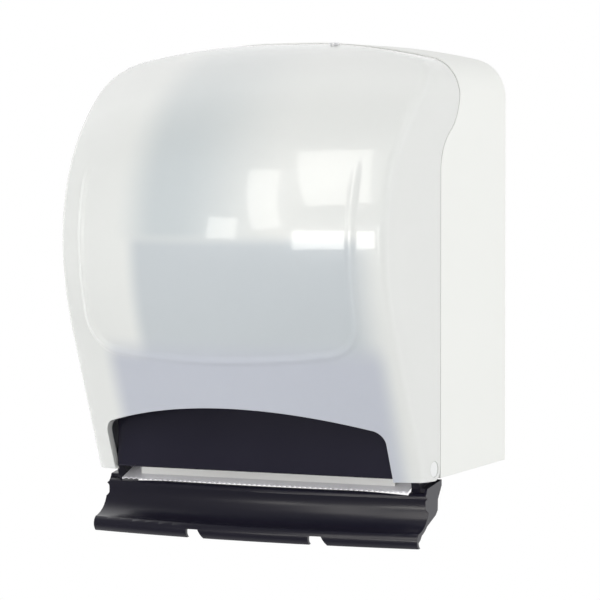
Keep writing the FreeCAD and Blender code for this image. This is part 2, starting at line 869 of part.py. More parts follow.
def make_panel_screws():
    """Screws from behind, through the side plates' flanges into the panel."""
    screws = []
    face = plate_front_y + plate_thickness
    for x, z in panel_screw_spots():
        screws += both_sides(screw(face, x, z, 1, face - panel_back_y + screw_bite))
    return screws


def make_cross_plate():
    """Rear plate that ties the two side plates together at the wall."""
    plate = box((-plate_inner_x, plate_inner_x), (-chassis_wall - cross_thickness, -chassis_wall),
                (base_z + cross_bottom_height, base_z + cross_top_height))
    for x, z in plate_screw_spots():
        for side in (-x, x):
            plate = plate.cut(rod_y(side, z, screw_radius, -overrun, 0))
    return plate


def make_stub_cradle():
    """Curved tray that holds a stub roll between the side plates."""
    y = cradle_y
    z = base_z + cradle_height
    outer = cradle_radius + cradle_thickness
    tray = tube_x(y, z, outer, cradle_radius, -plate_inner_x, plate_inner_x)
    lid = box((-plate_inner_x, plate_inner_x), (y - outer, y + outer), (z - cradle_lip, z + outer))
    tray = tray.cut(lid)
    web_z = z - outer
    web = box((-plate_inner_x, plate_inner_x), (y, -chassis_wall - cross_thickness),
              (web_z, web_z + cradle_thickness))
    return joined([tray, web])


# Points of the tear bar's section, from its toothed front edge to its back edge
bar_front = yz(pivot_y - bar_front_reach, pivot_z - bar_front_drop)
bar_back = yz(pivot_y + bar_back_reach, pivot_z - bar_back_drop)
bar_width = (bar_front - bar_back).Length
bar_slope = (bar_front - bar_back).normalize()
bar_normal = yz(bar_slope.z, -bar_slope.y)


def on_bar(share, lift):
    """Point of the tear bar's section, share of the way from back to front, lifted off its underside."""
    return bar_back + bar_slope * (bar_width * share) + bar_normal * lift


def make_exit_guide():
    """Tray on the floor under the feed roller, with a curved front wall and a seat on the tear bar."""
    back_y = -chassis_wall - air_gap
    top_y = drive_y - drive_radius - guide_roller_gap
    top_z = drive_z - guide_top_drop
    seat_front = on_bar(bar_seat_share, bar_thickness)
    seat_back = on_bar(0, bar_thickness)
    knee = floor_level(seat_back.y, floor_thickness)
    inner_knee = floor_level(top_y, floor_thickness + guide_thickness)
    middle_z = (top_z + seat_front.z) / 2
    middle_y = top_y + (seat_front.y - top_y) * guide_front_share - guide_thickness
    wire = outline(
        floor_level(back_y, floor_thickness), floor_level(back_y, floor_thickness + guide_thickness),
        inner_knee, yz(top_y, top_z), yz(top_y - guide_thickness, top_z),
        (yz(middle_y, middle_z), seat_front), seat_back, knee)
    guide = slab(wire, X_AXIS, -guide_half_length, guide_half_length)
    for x in bar_screw_places():
        guide = guide.cut(bar_screw_rod(x, screw_radius, 0, bar_thickness + screw_bite + screw_bite))
    return guide


def bar_space():
    """Space that the cover and the lever leave free round the pivot, so that they pass the tear bar."""
    radius = (bar_front - yz(pivot_y, pivot_z)).Length + paddle_clearance
    return rod_x(pivot_y, pivot_z, radius, -arm_inner_x, arm_inner_x)


def bar_screw_places():
    return [half_width * share for share in bar_screw_shares]


def bar_screw_rod(x, radius, low, high):
    """Round rod square to the tear bar, between two heights above its underside."""
    start = on_bar(bar_screw_share, low)
    start.x = x
    return Part.makeCylinder(radius, high - low, start, bar_normal)


def make_tear_bar():
    """Sloping steel strip with a row of teeth along its front edge."""
    bar = slab(
        outline(bar_front, bar_back, on_bar(0, bar_thickness), on_bar(1, bar_thickness)),
        X_AXIS, -bar_half_length, bar_half_length)
    count = int(bar_half_length / tooth_pitch)
    valley = on_bar(1, -bar_thickness) - bar_slope * tooth_depth
    front = on_bar(1, -bar_thickness) + bar_slope * tooth_depth
    side = vec(tooth_pitch / 2, 0, 0)
    for number in range(-count, count):
        centre = vec((number + 1 / 2) * tooth_pitch, 0, 0)
        notch = outline(valley + centre, front + centre - side - side, front + centre + side + side)
        bar = bar.cut(slab(notch, bar_normal, 0, bar_thickness * 3))
    for x in bar_screw_places():
        bar = bar.cut(bar_screw_rod(x, screw_radius, 0, bar_thickness))
    return bar


def make_tear_bar_screws():
    """Screws from below, through the tear bar into the exit guide."""
    screws = []
    for x in bar_screw_places():
        head = bar_screw_rod(x, screw_head_radius, -screw_head_height, 0)
        shank = bar_screw_rod(x, screw_radius, 0, bar_thickness + screw_bite)
        socket = bar_screw_rod(x, screw_radius, -screw_head_height, -screw_head_height / 2)
        screws.append(joined([head, shank]).cut(socket))
    return screws


# Feed rollers and gears


def make_drive_core():
    """Roller body with a groove for each rubber ring."""
    core = tube_x(drive_y, drive_z, drive_radius - air_gap, drive_shaft_radius,
                  -drive_half_length, drive_half_length)
    for groove in make_drive_rings():
        core = core.cut(groove)
    return core


def make_drive_rings():
    rings = []
    for x in [half_width * share for share in ring_shares]:
        rings.append(tube_x(drive_y, drive_z, drive_radius, drive_radius - ring_thickness,
                            x - ring_width / 2, x + ring_width / 2))
    return rings


def make_drive_shaft():
    """Steel shaft from outside one side plate to outside the other."""
    reach = plate_outer_x + bush_flange_thickness
    return rod_x(drive_y, drive_z, drive_shaft_radius, -reach, reach)


def make_shaft_bush():
    """Flanged bearing pressed into a side plate."""
    outer = drive_shaft_radius + running_gap + bush_wall
    sleeve = rod_x(drive_y, drive_z, outer, plate_inner_x, plate_outer_x)
    flange = rod_x(drive_y, drive_z, outer + bush_flange, plate_inner_x - bush_flange_thickness, plate_inner_x)
    bore = rod_x(drive_y, drive_z, drive_shaft_radius + running_gap,
                 plate_inner_x - bush_flange_thickness, plate_outer_x)
    return joined([sleeve, flange]).cut(bore)


def make_feed_knob():
    """Fluted hand wheel on the left end of the feed roller's shaft."""
    start = -wheel_plane_x - knob_width
    knob = tube_x(drive_y, drive_z, knob_radius, drive_shaft_radius, start, -wheel_plane_x)
    for number in range(knob_flutes):
        angle = 2 * math.pi * number / knob_flutes
        y = drive_y + knob_radius * math.cos(angle)
        z = drive_z + knob_radius * math.sin(angle)
        knob = knob.cut(rod_x(y, z, flute_radius, start, -wheel_plane_x))
    return knob


def make_drive_pinion():
    """Pinion on the shaft; one of its gaps faces the idler wheel."""
    first = drive_direction + math.pi + math.pi / pinion_teeth
    pinion = gear(pinion_teeth, drive_y, drive_z, wheel_plane_x, wheel_plane_x + wheel_width, first)
    return pinion.cut(rod_x(drive_y, drive_z, drive_shaft_radius, wheel_plane_x, wheel_plane_x + wheel_width))


def make_idler_gear():
    """Compound gear: large wheel to the feed roller, small one to the clutch gear."""
    wheel_end = wheel_plane_x + wheel_width
    pinion_end = clutch_plane_x + clutch_gear_width
    wheel = gear(wheel_teeth, idler_y, idler_z, wheel_plane_x, wheel_end, drive_direction)
    hub = rod_x(idler_y, idler_z, idler_hub_radius, wheel_end, clutch_plane_x)
    first = idler_direction + math.pi + math.pi / pinion_teeth
    pinion = gear(pinion_teeth, idler_y, idler_z, clutch_plane_x, pinion_end, first)
    bore = rod_x(idler_y, idler_z, pin_radius + running_gap, wheel_plane_x, pinion_end)
    return joined([wheel, hub, pinion]).cut(bore)


def make_idler_axle():
    """Fixed axle with a collar against the side plate and a groove for the clip."""
    start = wheel_plane_x - air_gap - clip_thickness - air_gap * 2
    axle = rod_x(idler_y, idler_z, pin_radius, start, plate_outer_x)
    collar = rod_x(idler_y, idler_z, idler_collar_radius,
                   clutch_plane_x + clutch_gear_width + air_gap, plate_inner_x)
    return joined([axle, collar]).cut(clip_groove())


def clip_groove():
    start = wheel_plane_x - air_gap - clip_thickness
    return tube_x(idler_y, idler_z, pin_radius + clip_wall, pin_radius - air_gap * 2,
                  start, wheel_plane_x - air_gap)


def make_idler_clip():
    """Open clip that snaps into the axle's groove."""
    start = wheel_plane_x - air_gap - clip_thickness
    mouth = box((start, wheel_plane_x), (idler_y - clip_mouth / 2, idler_y + clip_mouth / 2),
                (idler_z - pin_radius - clip_wall - air_gap, idler_z))
    return clip_groove().cut(mouth)


def make_clutch_gear():
    """Gear on the outside of the one-way clutch; one tooth points at the idler."""
    end = clutch_plane_x + clutch_gear_width
    wheel = gear(clutch_teeth, pivot_y, pivot_z, clutch_plane_x, end, idler_direction)
    return wheel.cut(rod_x(pivot_y, pivot_z, clutch_radius, clutch_plane_x, end))


def make_roller_clutch():
    """One-way clutch sleeve that runs on the lever's race."""
    return tube_x(pivot_y, pivot_z, clutch_radius, race_radius + running_gap,
                  clutch_plane_x, clutch_plane_x + clutch_gear_width)


def make_pinch_shaft():
    reach = plate_outer_x + pinch_block_lip
    return rod_x(pinch_y, pinch_z, pinch_shaft_radius, -reach, reach)


def make_pinch_sleeves():
    sleeves = []
    for x in [half_width * share for share in pinch_shares]:
        sleeves.append(tube_x(pinch_y, pinch_z, pinch_radius, pinch_shaft_radius,
                              x - pinch_sleeve_width / 2, x + pinch_sleeve_width / 2))
    return sleeves


def make_pinch_block():
    """Bearing block in the side plate's slot, with a lip on both sides of the plate."""
    half = pinch_block_size / 2
    lip_half = half + pinch_block_overlap
    core = box((plate_inner_x - running_gap, plate_outer_x + running_gap),
               (pinch_y - half, pinch_y + half), (pinch_z - half, pinch_z + half))
    pieces = [core]
    for start in (plate_inner_x - running_gap - pinch_block_lip, plate_outer_x + running_gap):
        pieces.append(box((start, start + pinch_block_lip), (pinch_y - lip_half, pinch_y + lip_half),
                          (pinch_z - half, pinch_z + half)))
    bore = rod_x(pinch_y, pinch_z, pinch_shaft_radius + running_gap,
                 plate_inner_x - overrun, plate_outer_x + overrun)
    return joined(pieces).cut(bore)


def make_pinch_spring():
    """Spring between the bearing block and the top of its slot."""
    spring = coil(pinch_coil_radius, pinch_coil_pitch, pinch_coil_turns, spring_wire,
                  pinch_coil_leg, "pinch spring")
    x = (plate_inner_x + plate_outer_x) / 2
    spring.translate(vec(x, pinch_y, pinch_z + pinch_block_size / 2))
    return spring


def make_transfer_bar():
    """Shaft with a row of fingers that push the main roll's sheet into the nip."""
    bar = rod_x(transfer_y, transfer_z, transfer_shaft_radius, -plate_outer_x, plate_outer_x)
    pieces = [bar]
    for x in [half_width * share for share in finger_shares]:
        finger = box((x - finger_width / 2, x + finger_width / 2),
                     (transfer_y - finger_thickness / 2, transfer_y + finger_thickness / 2),
                     (transfer_z - finger_length, transfer_z))
        finger.rotate(yz(transfer_y, transfer_z), X_AXIS, finger_tilt)
        pieces.append(finger)
    return joined(pieces)


def make_transfer_spring():
    """Torsion spring around the transfer bar's shaft."""
    spring = coil(transfer_coil_radius, transfer_coil_pitch, transfer_coil_turns, spring_wire,
                  transfer_leg, "transfer spring")
    return along_x(spring, plate_inner_x - transfer_coil_height(), transfer_y, transfer_z)


def along_x(shape, x, y, z):
    """Turns a shape drawn about Z so that it lies along X, starting at the given place."""
    shape.rotate(ORIGIN, Y_AXIS, quarter_turn)
    shape.translate(vec(x, y, z))
    return shape


# Lever


def lever_point(shares, forward):
    """Point of the lever's section from its shares of reach and drop, moved forward."""
    return yz(pivot_y - shares[0] * lever_reach - forward, pivot_z - shares[1] * lever_drop)


def make_paddle():
    """Curved front wall of the lever, turned about a far upright axis."""
    point = {name: lever_point(shares, lever_bow) for name, shares in front_share.items()}
    wire = outline(
        point["back_edge"], (point["crown"], point["ridge"]), (point["cove"], point["lip_top"]),
        (point["lip"], point["lip_foot"]), point["inner_foot"], (point["inner_lip_through"], point["inner_lip"]),
        (point["inner_cove"], point["inner_ridge"]), point["inner_edge"])
    radius = (lever_half_width * lever_half_width + lever_bow * lever_bow) / (2 * lever_bow)
    axis_point = yz(pivot_y - lever_reach * front_share["ridge"][0] - lever_bow + radius, 0)
    turn = math.degrees(math.asin((lever_half_width + paddle_side) / radius)) + paddle_spare_turn
    face = Part.Face(wire)
    face.rotate(axis_point, Z_AXIS, -turn)
    return face.revolve(axis_point, Z_AXIS, turn * 2)


def paddle_limits():
    """Space for the lever's front wall, wider in front of the cheeks than between them."""
    low_z = base_z - lever_drop - overrun
    narrow = lever_half_width
    wide = lever_half_width + paddle_side
    between = box((-narrow, narrow), (-front_depth, 0), (low_z, pivot_z))
    before = box((-wide, wide), (-front_depth, pivot_y - paddle_side_reach), (low_z, pivot_z))
    return between.fuse(before)


def cheek_wire():
    """Closed side view of the lever's end: front profile, foot and sloping back."""
    front = {name: lever_point(shares, 0) for name, shares in front_share.items()}
    back = {name: lever_point(shares, 0) for name, shares in cheek_share.items()}
    return outline(
        back["rear_top"], back["front_top"], (front["crown"], front["ridge"]),
        (front["cove"], front["lip_top"]), (front["lip"], front["lip_foot"]),
        back["foot"], back["knee"], back["shin"], back["heel"], back["calf"], back["hip"])


def make_lever():
    """Full-width lever: bowed wall, hollow cheeks with arms, hubs and two notches under the lip."""
    paddle = make_paddle().common(paddle_limits()).cut(bar_space())
    outer_plate = slab(cheek_wire(), X_AXIS, lever_half_width - cheek_thickness, lever_half_width)
    arm_outline = cheek_wire()
    arm = slab(arm_outline, X_AXIS, arm_inner_x, arm_outer_x)
    hub = rod_x(pivot_y, pivot_z, arm_hub_radius, arm_inner_x, arm_outer_x)
    top = {name: lever_point(shares, 0) for name, shares in cheek_share.items()}
    hip = lever_point(cheek_share["hip"], 0)
    neck = slab(
        outline(yz(pivot_y + arm_hub_radius, pivot_z), hip, top["front_top"],
                yz(pivot_y - arm_hub_radius, pivot_z)),
        X_AXIS, arm_inner_x, arm_outer_x)
    down = yz(0, -lever_wall)
    lid = slab(
        outline(top["rear_top"], top["front_top"], top["front_top"] + down, top["rear_top"] + down),
        X_AXIS, arm_inner_x, lever_half_width)
    race = rod_x(pivot_y, pivot_z, race_radius, race_inner_x, arm_inner_x)
    side = joined([outer_plate, arm, hub, neck, lid, race])
    side = side.cut(rod_x(pivot_y, pivot_z, pin_radius + running_gap, race_inner_x, lever_half_width))
    lever = joined([paddle] + both_sides(side))
    for share in notch_shares:
        lever = lever.cut(lip_notch(half_width * share))
    return lever


def lip_notch(x):
    """Notch under the lever's lip, upright at x on the left and sloping on the right."""
    foot_z = pivot_z - lever_drop
    right = x + notch_top_width
    wire = outline(
        xz(x, foot_z - notch_height), xz(x, foot_z + notch_height), xz(right, foot_z + notch_height),
        xz(right + notch_slope * 2, foot_z - notch_height))
    return slab(wire, Y_AXIS, -front_depth, pivot_y)


def make_lever_spring():
    """Torsion spring around the lever's left race."""
    spring = coil(lever_coil_radius, lever_coil_pitch, lever_coil_turns, lever_coil_wire,
                  lever_coil_leg, "lever spring")
    return along_x(spring, -arm_inner_x + air_gap, pivot_y, pivot_z)


# Roll holders


def make_roll_arm():
    """Right roll arm: barrel on the pin, root and a tapering blade with the hub's bore."""
    blade_start = roll_half_width + air_gap
    blade_end = blade_start + holder_thickness
    half = holder_root_height / 2
    blade = slab(
        outline(yz(holder_y + barrel_radius, roll_z - half), yz(holder_y + barrel_radius, roll_z + half),
                yz(holder_y - barrel_radius, roll_z + half), yz(roll_y, roll_z + holder_end_radius),
                (yz(roll_y - holder_end_radius, roll_z), yz(roll_y, roll_z - holder_end_radius)),
                yz(holder_y - barrel_radius, roll_z - half)),
        X_AXIS, blade_start, blade_end)
    barrel = rod_z(holder_x, holder_y, barrel_radius, roll_z - half, roll_z + half)
    root = box((blade_start, holder_x), (holder_y - barrel_radius, holder_y + barrel_radius),
               (roll_z - half, roll_z + half))
    arm = joined([blade, barrel, root])
    arm = arm.cut(rod_z(holder_x, holder_y, holder_pin_radius + running_gap, roll_z - half, roll_z + half))
    return arm.cut(rod_x(roll_y, roll_z, hub_pin_radius, blade_start, blade_end))


def make_core_hub():
    """Turning plug for the roll's core, snapped into the arm by a slit pin."""
    flange_start = roll_half_width - hub_flange_thickness
    tip = flange_start - hub_length
    lead = Part.makeCone(hub_tip_radius, hub_root_radius, hub_lead, vec(tip, roll_y, roll_z), X_AXIS)
    plug = joined([lead, rod_x(roll_y, roll_z, hub_root_radius, tip + hub_lead, flange_start)])
    hollow = rod_x(roll_y, roll_z, hub_tip_radius - hub_wall, tip, flange_start)
    flange = rod_x(roll_y, roll_z, hub_flange_radius, flange_start, roll_half_width)
    pin_end = roll_half_width + holder_thickness + air_gap * 2
    pin = rod_x(roll_y, roll_z, hub_pin_radius - running_gap, roll_half_width, pin_end)
    snap = rod_x(roll_y, roll_z, hub_snap_radius, pin_end, pin_end + hub_snap_length)
    slit = box((roll_half_width + hub_snap_length, pin_end + hub_snap_length),
               (roll_y - hub_snap_radius, roll_y + hub_snap_radius),
               (roll_z - hub_slit / 2, roll_z + hub_slit / 2))
    return joined([plug.cut(hollow), flange, pin, snap]).cut(slit)


def make_arm_pin():
    """Pin through both ears and the arm's barrel, with a flat head on top."""
    half = holder_root_height / 2 + air_gap
    top = roll_z + half + holder_coil_height() + ear_thickness
    pin = rod_z(holder_x, holder_y, holder_pin_radius, roll_z - half - ear_thickness, top)
    head = rod_z(holder_x, holder_y, holder_pin_radius * 2, top, top + holder_pin_radius / 2)
    return joined([pin, head])


def make_arm_spring():
    """Spring around the arm's pin, between the barrel and the upper ear."""
    spring = coil(holder_coil_radius, holder_coil_pitch, holder_coil_turns, spring_wire,
                  holder_coil_leg, "arm spring")
    spring.translate(vec(holder_x, holder_y, roll_z + holder_root_height / 2 + air_gap))
    return spring


# Lock


def skin_height(x, y):
    """Height of the housing's outer skin above a place near its top."""
    bow_y = bow_axis_y - math.hypot(x, bow_axis_y - y)
    back = bow_y + front_depth - upper_radius
    front_z = bulge_z + math.sqrt(upper_radius * upper_radius - back * back)
    crown = crown_z - crown_radius + math.sqrt(crown_radius * crown_radius - x * x)
    return min(front_z, crown)


lock_skin_z = skin_height(lock_x, lock_y)


def make_lock_barrel():
    """Lock body through the cover's top, its head seated on the cover's skin."""
    head = rod_z(lock_x, lock_y, lock_head_radius, lock_skin_z - lock_nut_thickness, lock_skin_z + lock_head_rise)
    head = head.cut(housing_body(0, cover_bottom_z))
    rim = head.Edges[0]
    for edge in head.Edges:
        if edge.BoundBox.ZMin > rim.BoundBox.ZMin:
            rim = edge
    head = head.makeFillet(lock_head_rise / 2, [rim])
    body = rod_z(lock_x, lock_y, lock_barrel_radius, lock_skin_z - lock_length, lock_skin_z + lock_head_rise / 2)
    bore = rod_z(lock_x, lock_y, lock_plug_radius + running_gap,
                 lock_skin_z - lock_length - overrun, crown_z + overrun)
    return joined([head, body]).cut(bore)


def make_lock_nut():
    """Six-sided nut under the cover's skin."""
    corners = []
    for number in range(6):
        angle = math.pi * number / 3
        corners.append(vec(lock_x + lock_nut_radius * math.cos(angle),
                           lock_y + lock_nut_radius * math.sin(angle), 0))
    nut = slab(outline(*corners), Z_AXIS, lock_skin_z - cover_wall - lock_nut_thickness, lock_skin_z)
    nut = nut.common(housing_body(cover_wall, cover_bottom_z))
    return nut.cut(rod_z(lock_x, lock_y, lock_barrel_radius, lock_skin_z - lock_length, crown_z))


def make_lock_cam():
    """Turning plug with a key slot on top and a hooked cam below."""
    cam_top = lock_skin_z - lock_length - running_gap
    cam_bottom = cam_top - cam_thickness
    hook_top = cam_top + cam_hook_height
    plug_top = lock_skin_z + lock_head_rise - air_gap
    plug = rod_z(lock_x, lock_y, lock_plug_radius, cam_bottom, plug_top)
    slot = box((lock_x - lock_slot_width / 2, lock_x + lock_slot_width / 2),
               (lock_y - lock_plug_radius, lock_y + lock_plug_radius), (plug_top - lock_slot_depth, plug_top))
    hub = rod_z(lock_x, lock_y, cam_half_width, cam_bottom, cam_top)
    side = box((lock_x - cam_hook_outer, lock_x), (lock_y - cam_half_width, lock_y + cam_half_width),
               (cam_bottom, hook_top))
    arm = side.common(rod_z(lock_x, lock_y, cam_hook_outer, cam_bottom, cam_top))
    hook = side.common(rod_z(lock_x, lock_y, cam_hook_outer, cam_bottom, hook_top))
    hook = hook.cut(rod_z(lock_x, lock_y, cam_hook_inner, cam_bottom, hook_top))
    return joined([plug, hub, arm, hook]).cut(slot)


def make_strike():
    """Catch for the cam: a tab, a bridge and a seat under the housing's crown."""
    tab_y = lock_y + cam_hook_inner - strike_gap - strike_thickness
    tab_z = lock_skin_z - lock_length + strike_gap + cam_thickness
    bridge_z = lock_skin_z - strike_bridge_drop
    seat_y = -seam_top_depth + strike_seat_gap
    x_range = (lock_x - strike_half_width, lock_x + strike_half_width)
    tab = box(x_range, (tab_y, tab_y + strike_thickness), (tab_z, bridge_z))
    bridge = box(x_range, (tab_y, seat_y + strike_seat_length), (bridge_z - strike_thickness, bridge_z))
    seat = box(x_range, (seat_y, seat_y + strike_seat_length), (bridge_z, crown_z))
    seat = seat.common(housing_body(chassis_wall, cover_bottom_z))
    return joined([tab, bridge, seat])


os.makedirs("parts", exist_ok=True)
save("front_cover", make_cover())
save("back_chassis", make_chassis())
save("front_panel", make_panel())
save("tear_bar", make_tear_bar())
save("push_lever", make_lever())
save("cross_plate", make_cross_plate())
save("exit_guide", make_exit_guide())
save("stub_cradle", make_stub_cradle())
save("plate_screws", make_plate_screws())
save("panel_screws", make_panel_screws())
save("tear_bar_screws", make_tear_bar_screws())
save("lever_spring", make_lever_spring())
save("roller_clutch", make_roller_clutch())
save("clutch_gear", make_clutch_gear())
save("idler_axle", make_idler_axle())
save("idler_gear", make_idler_gear())
save("idler_clip", make_idler_clip())
save("drive_shaft", make_drive_shaft())
save("drive_pinion", make_drive_pinion())
save("drive_core", make_drive_core())
save("drive_rings", make_drive_rings())
save("feed_knob", make_feed_knob())
save("pinch_shaft", make_pinch_shaft())
save("pinch_sleeves", make_pinch_sleeves())
save("transfer_bar", make_transfer_bar())
save("transfer_spring", make_transfer_spring())
save("lock_barrel", make_lock_barrel())
save("lock_nut", make_lock_nut())
save("lock_cam", make_lock_cam())
save("strike_plate", make_strike())
pairs = (
    ("hinge_pin", make_hinge_pin), ("side_plate", make_side_plate), ("shaft_bush", make_shaft_bush),
    ("pinch_block", make_pinch_block), ("pinch_spring", make_pinch_spring), ("roll_arm", make_roll_arm),
    ("arm_pin", make_arm_pin), ("arm_spring", make_arm_spring), ("core_hub", make_core_hub),
)
for name, maker in pairs:
    piece = maker()
    save(name + "_right", piece)
    save(name + "_left", mirrored(piece))
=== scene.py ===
import json
import math

import bmesh
import bpy
import numpy as np
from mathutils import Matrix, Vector


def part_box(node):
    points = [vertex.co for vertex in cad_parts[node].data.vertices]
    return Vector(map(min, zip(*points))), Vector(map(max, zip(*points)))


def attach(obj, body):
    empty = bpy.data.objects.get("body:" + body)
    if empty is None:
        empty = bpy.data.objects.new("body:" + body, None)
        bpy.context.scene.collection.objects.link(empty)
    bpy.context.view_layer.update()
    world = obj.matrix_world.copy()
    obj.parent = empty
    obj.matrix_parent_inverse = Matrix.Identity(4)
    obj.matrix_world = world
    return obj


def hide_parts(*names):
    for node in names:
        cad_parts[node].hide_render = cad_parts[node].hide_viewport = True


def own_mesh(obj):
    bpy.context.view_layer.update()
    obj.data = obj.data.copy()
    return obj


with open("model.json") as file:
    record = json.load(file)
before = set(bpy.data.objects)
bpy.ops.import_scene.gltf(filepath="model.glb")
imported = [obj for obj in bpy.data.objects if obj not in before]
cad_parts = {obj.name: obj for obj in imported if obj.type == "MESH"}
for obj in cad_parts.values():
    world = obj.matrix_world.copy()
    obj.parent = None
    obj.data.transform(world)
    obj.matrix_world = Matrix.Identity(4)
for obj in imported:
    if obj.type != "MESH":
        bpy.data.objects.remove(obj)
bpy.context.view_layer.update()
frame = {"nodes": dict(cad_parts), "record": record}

# Lever paper towel dispenser, in metres. X is to the right, Y goes into the wall, Z is up.
chassis_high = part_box("back_chassis")[1]
cover_low, cover_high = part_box("front_cover")
pin_low, pin_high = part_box("hinge_pin_right")
lock_low, lock_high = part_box("lock_nut")
bar_low, bar_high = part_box("tear_bar")

# Housing skin
half_width = chassis_high[0]
front_depth = -cover_low[1]
crown_z = cover_high[2]
base_z = -0.170
crown_radius = 0.640
corner_radius = 0.034
side_draft = 0.0263
bow_radius = 0.4795
bulge_z = base_z + 0.200
upper_radius = crown_z - bulge_z
lower_radius = 0.235
lower_lean = math.radians(19.4)
bow_axis_y = bow_radius - front_depth
edge_radius = 0.009

# Cover
cover_wall = 0.0028
seam_gap = 0.0003
seam_share = 0.4837
seam_top_share = 0.3442
seam_y = -front_depth * seam_share - seam_gap
seam_top_y = -front_depth * seam_top_share - seam_gap
seam_bend_z = base_z + 0.256
seam_rise = 0.066
pivot_y = (pin_low[1] + pin_high[1]) / 2
pivot_z = (pin_low[2] + pin_high[2]) / 2
lug_radius = 0.010
lug_x = half_width + pivot_y * side_draft
boss_depth = 0.002
cover_bottom_z = pivot_z - lug_radius
arch_half_width = lug_x - 0.0233
arch_top_z = base_z + 0.0572
arch_radius = 0.535
arch_corner_radius = 0.012
rim_width = 0.003
rim_depth = 0.0065
bead_half_width = lug_x - 0.0298
bead_z = base_z + 0.0975
bead_radius = 0.850
bead_corner_radius = 0.030
bead_rise = 0.0013
bead_reach = 0.0048
bead_top_z = base_z + 0.268
bead_fade = 0.030
pin_hole_radius = 0.0065
lock_x = (lock_low[0] + lock_high[0]) / 2
lock_y = (lock_low[1] + lock_high[1]) / 2
lock_radius = 0.0034
bar_clearance = 0.001
bar_space_radius = math.hypot(pivot_y - bar_low[1], pivot_z - bar_low[2]) + bar_clearance
overrun = 0.020
back_y = -0.045
thin_edge = 0.0001
cover_crease = 32

# Rays that find the skin, and their angles in degrees as (start, end, step), finest where an edge turns
ray_origin = (0.0, -0.075, 0.020)
ray_length = 0.400
ray_halvings = 30
outer_turns = ((-180, -90, 6), (-90, -73, 2), (-73, -56, 0.6), (-56, -40, 0.35), (-40, 40, 1.2),
               (40, 56, 0.35), (56, 73, 0.6), (73, 90, 2), (90, 180, 6))
outer_lifts = ((-86, -40, 1.5), (-40, -24, 0.35), (-24, 34, 1.2), (34, 74, 0.3), (74, 88, 2))
inner_turns = ((-180, -90, 6), (-90, -73, 2), (-73, -40, 0.8), (-40, 40, 2), (40, 73, 0.8), (73, 90, 2),
               (90, 180, 6))
inner_lifts = ((-86, 34, 1.5), (34, 74, 0.8), (74, 88, 2))

# Springs of the pinch roller
pinch_wire = 0.0008
pinch_turns = 5
pinch_leg = 0.0012
pinch_steps = 24
wire_sides = 12
spring_crease = 60

# Painted shade: darker fields in the front shell's colour, standing in for the dim inside that shows softly
# through it. Each has its left, right, lower and upper limit, as the place where the field is nothing and
# the place where it is full.
open_below = (-0.300, -0.299)
roll_shade = ((-0.084, -0.062), (0.158, 0.124), open_below, (0.036, 0.022))
roll_shade_colour = (0.605, 0.645, 0.670)
low_shade = ((-0.126, -0.100), (0.157, 0.136), open_below, (-0.050, -0.078))
low_shade_colour = (0.580, 0.605, 0.670)
high_shade = ((-0.095, -0.045), (0.080, -0.030), (0.022, 0.036), (0.300, 0.060))
high_shade_colour = (0.620, 0.665, 0.680)

# Surfaces
cloud_scale = 14.0
cloud_detail = 3.0
grain_detail = 2.0
soft_edge = 0.0005
soft_edge_samples = 4

# Camera, fitted to the photograph
camera_place = (1.5855, -2.7593, 0.0875)
camera_target = (0.02463, -0.110, -0.0241)
camera_lens = 216.96
sensor_width = 36.0
view_reach = 100

# Room: its level for diffuse light, and where it is mirrored, its levels above and below the horizon
diffuse_level = 0.62
wall_level = 0.14
dark_level = 0.05

# Where the mirrored room changes: along Y to white behind the object, and along Z at the horizon
behind_start = -0.35
behind_end = 0.15
horizon_start = -0.06
horizon_end = 0.01

# Floor
floor_reach = 30.0
floor_y = -0.1
floor_z = base_z - 0.230
floor_colour = (0.9, 0.9, 0.9, 1)
floor_roughness = 0.8
fade_start = 0.45
fade_end = 0.95

# Soft lamps that nothing mirrors: place, size and radiance
lamp_target = (0, -0.1, 0)
soft_lamps = {
    "key": ((-1.5, -2.8, 1.4), (2.0, 2.0), 2.3),
    "side": ((3.0, -0.4, 0.9), (1.8, 1.8), 3.2),
    "fill": ((-0.9, -3.0, -0.10), (2.4, 0.5), 6.2),
}

# Windows that the cover mirrors. The spot lies on the cover. Angles are in degrees: turn to the right of
# straight ahead, lift above it, then the width, height and lean of the window.
window_colour = (1.0, 0.98, 0.92)
windows = {
    "window_small": dict(spot=(0.020, -0.229, 0.038), turn=-27.2, lift=4.5, width=7.4, height=11.0,
                         lean=0, strength=3.6, distance=4.0),
    "window_tall": dict(spot=(0.061, -0.222, 0.063), turn=-19.7, lift=20.3, width=7.2, height=33.0,
                        lean=12, strength=2.6, distance=4.0),
    "window_wide": dict(spot=(0.117, -0.207, 0.081), turn=-5.5, lift=34.3, width=15.5, height=32.5,
                        lean=14, strength=2.5, distance=4.0),
    "doorway": dict(spot=(0.111, -0.216, 0.024), turn=-1.5, lift=-0.5, width=20.0, height=9.0,
                    lean=0, strength=6.0, distance=1.9),
    "door_beside": dict(spot=(0.140, -0.209, 0.024), turn=22.0, lift=-1.0, width=5.0, height=15.0,
                        lean=0, strength=5.0, distance=1.9),
}


# Node tools


def new_node(tree, kind, **settings):
    """Adds a shader node and sets its properties."""
    node = tree.nodes.new("ShaderNode" + kind)
    for key, value in settings.items():
        setattr(node, key, value)
    return node


def feed(tree, socket, value):
    """Links a socket or sets its value."""
    if isinstance(value, bpy.types.NodeSocket):
        tree.links.new(value, socket)
    else:
        socket.default_value = value


def calculate(tree, operation, first, second):
    node = new_node(tree, "Math", operation=operation)
    feed(tree, node.inputs[0], first)
    feed(tree, node.inputs[1], second)
    return node.outputs[0]


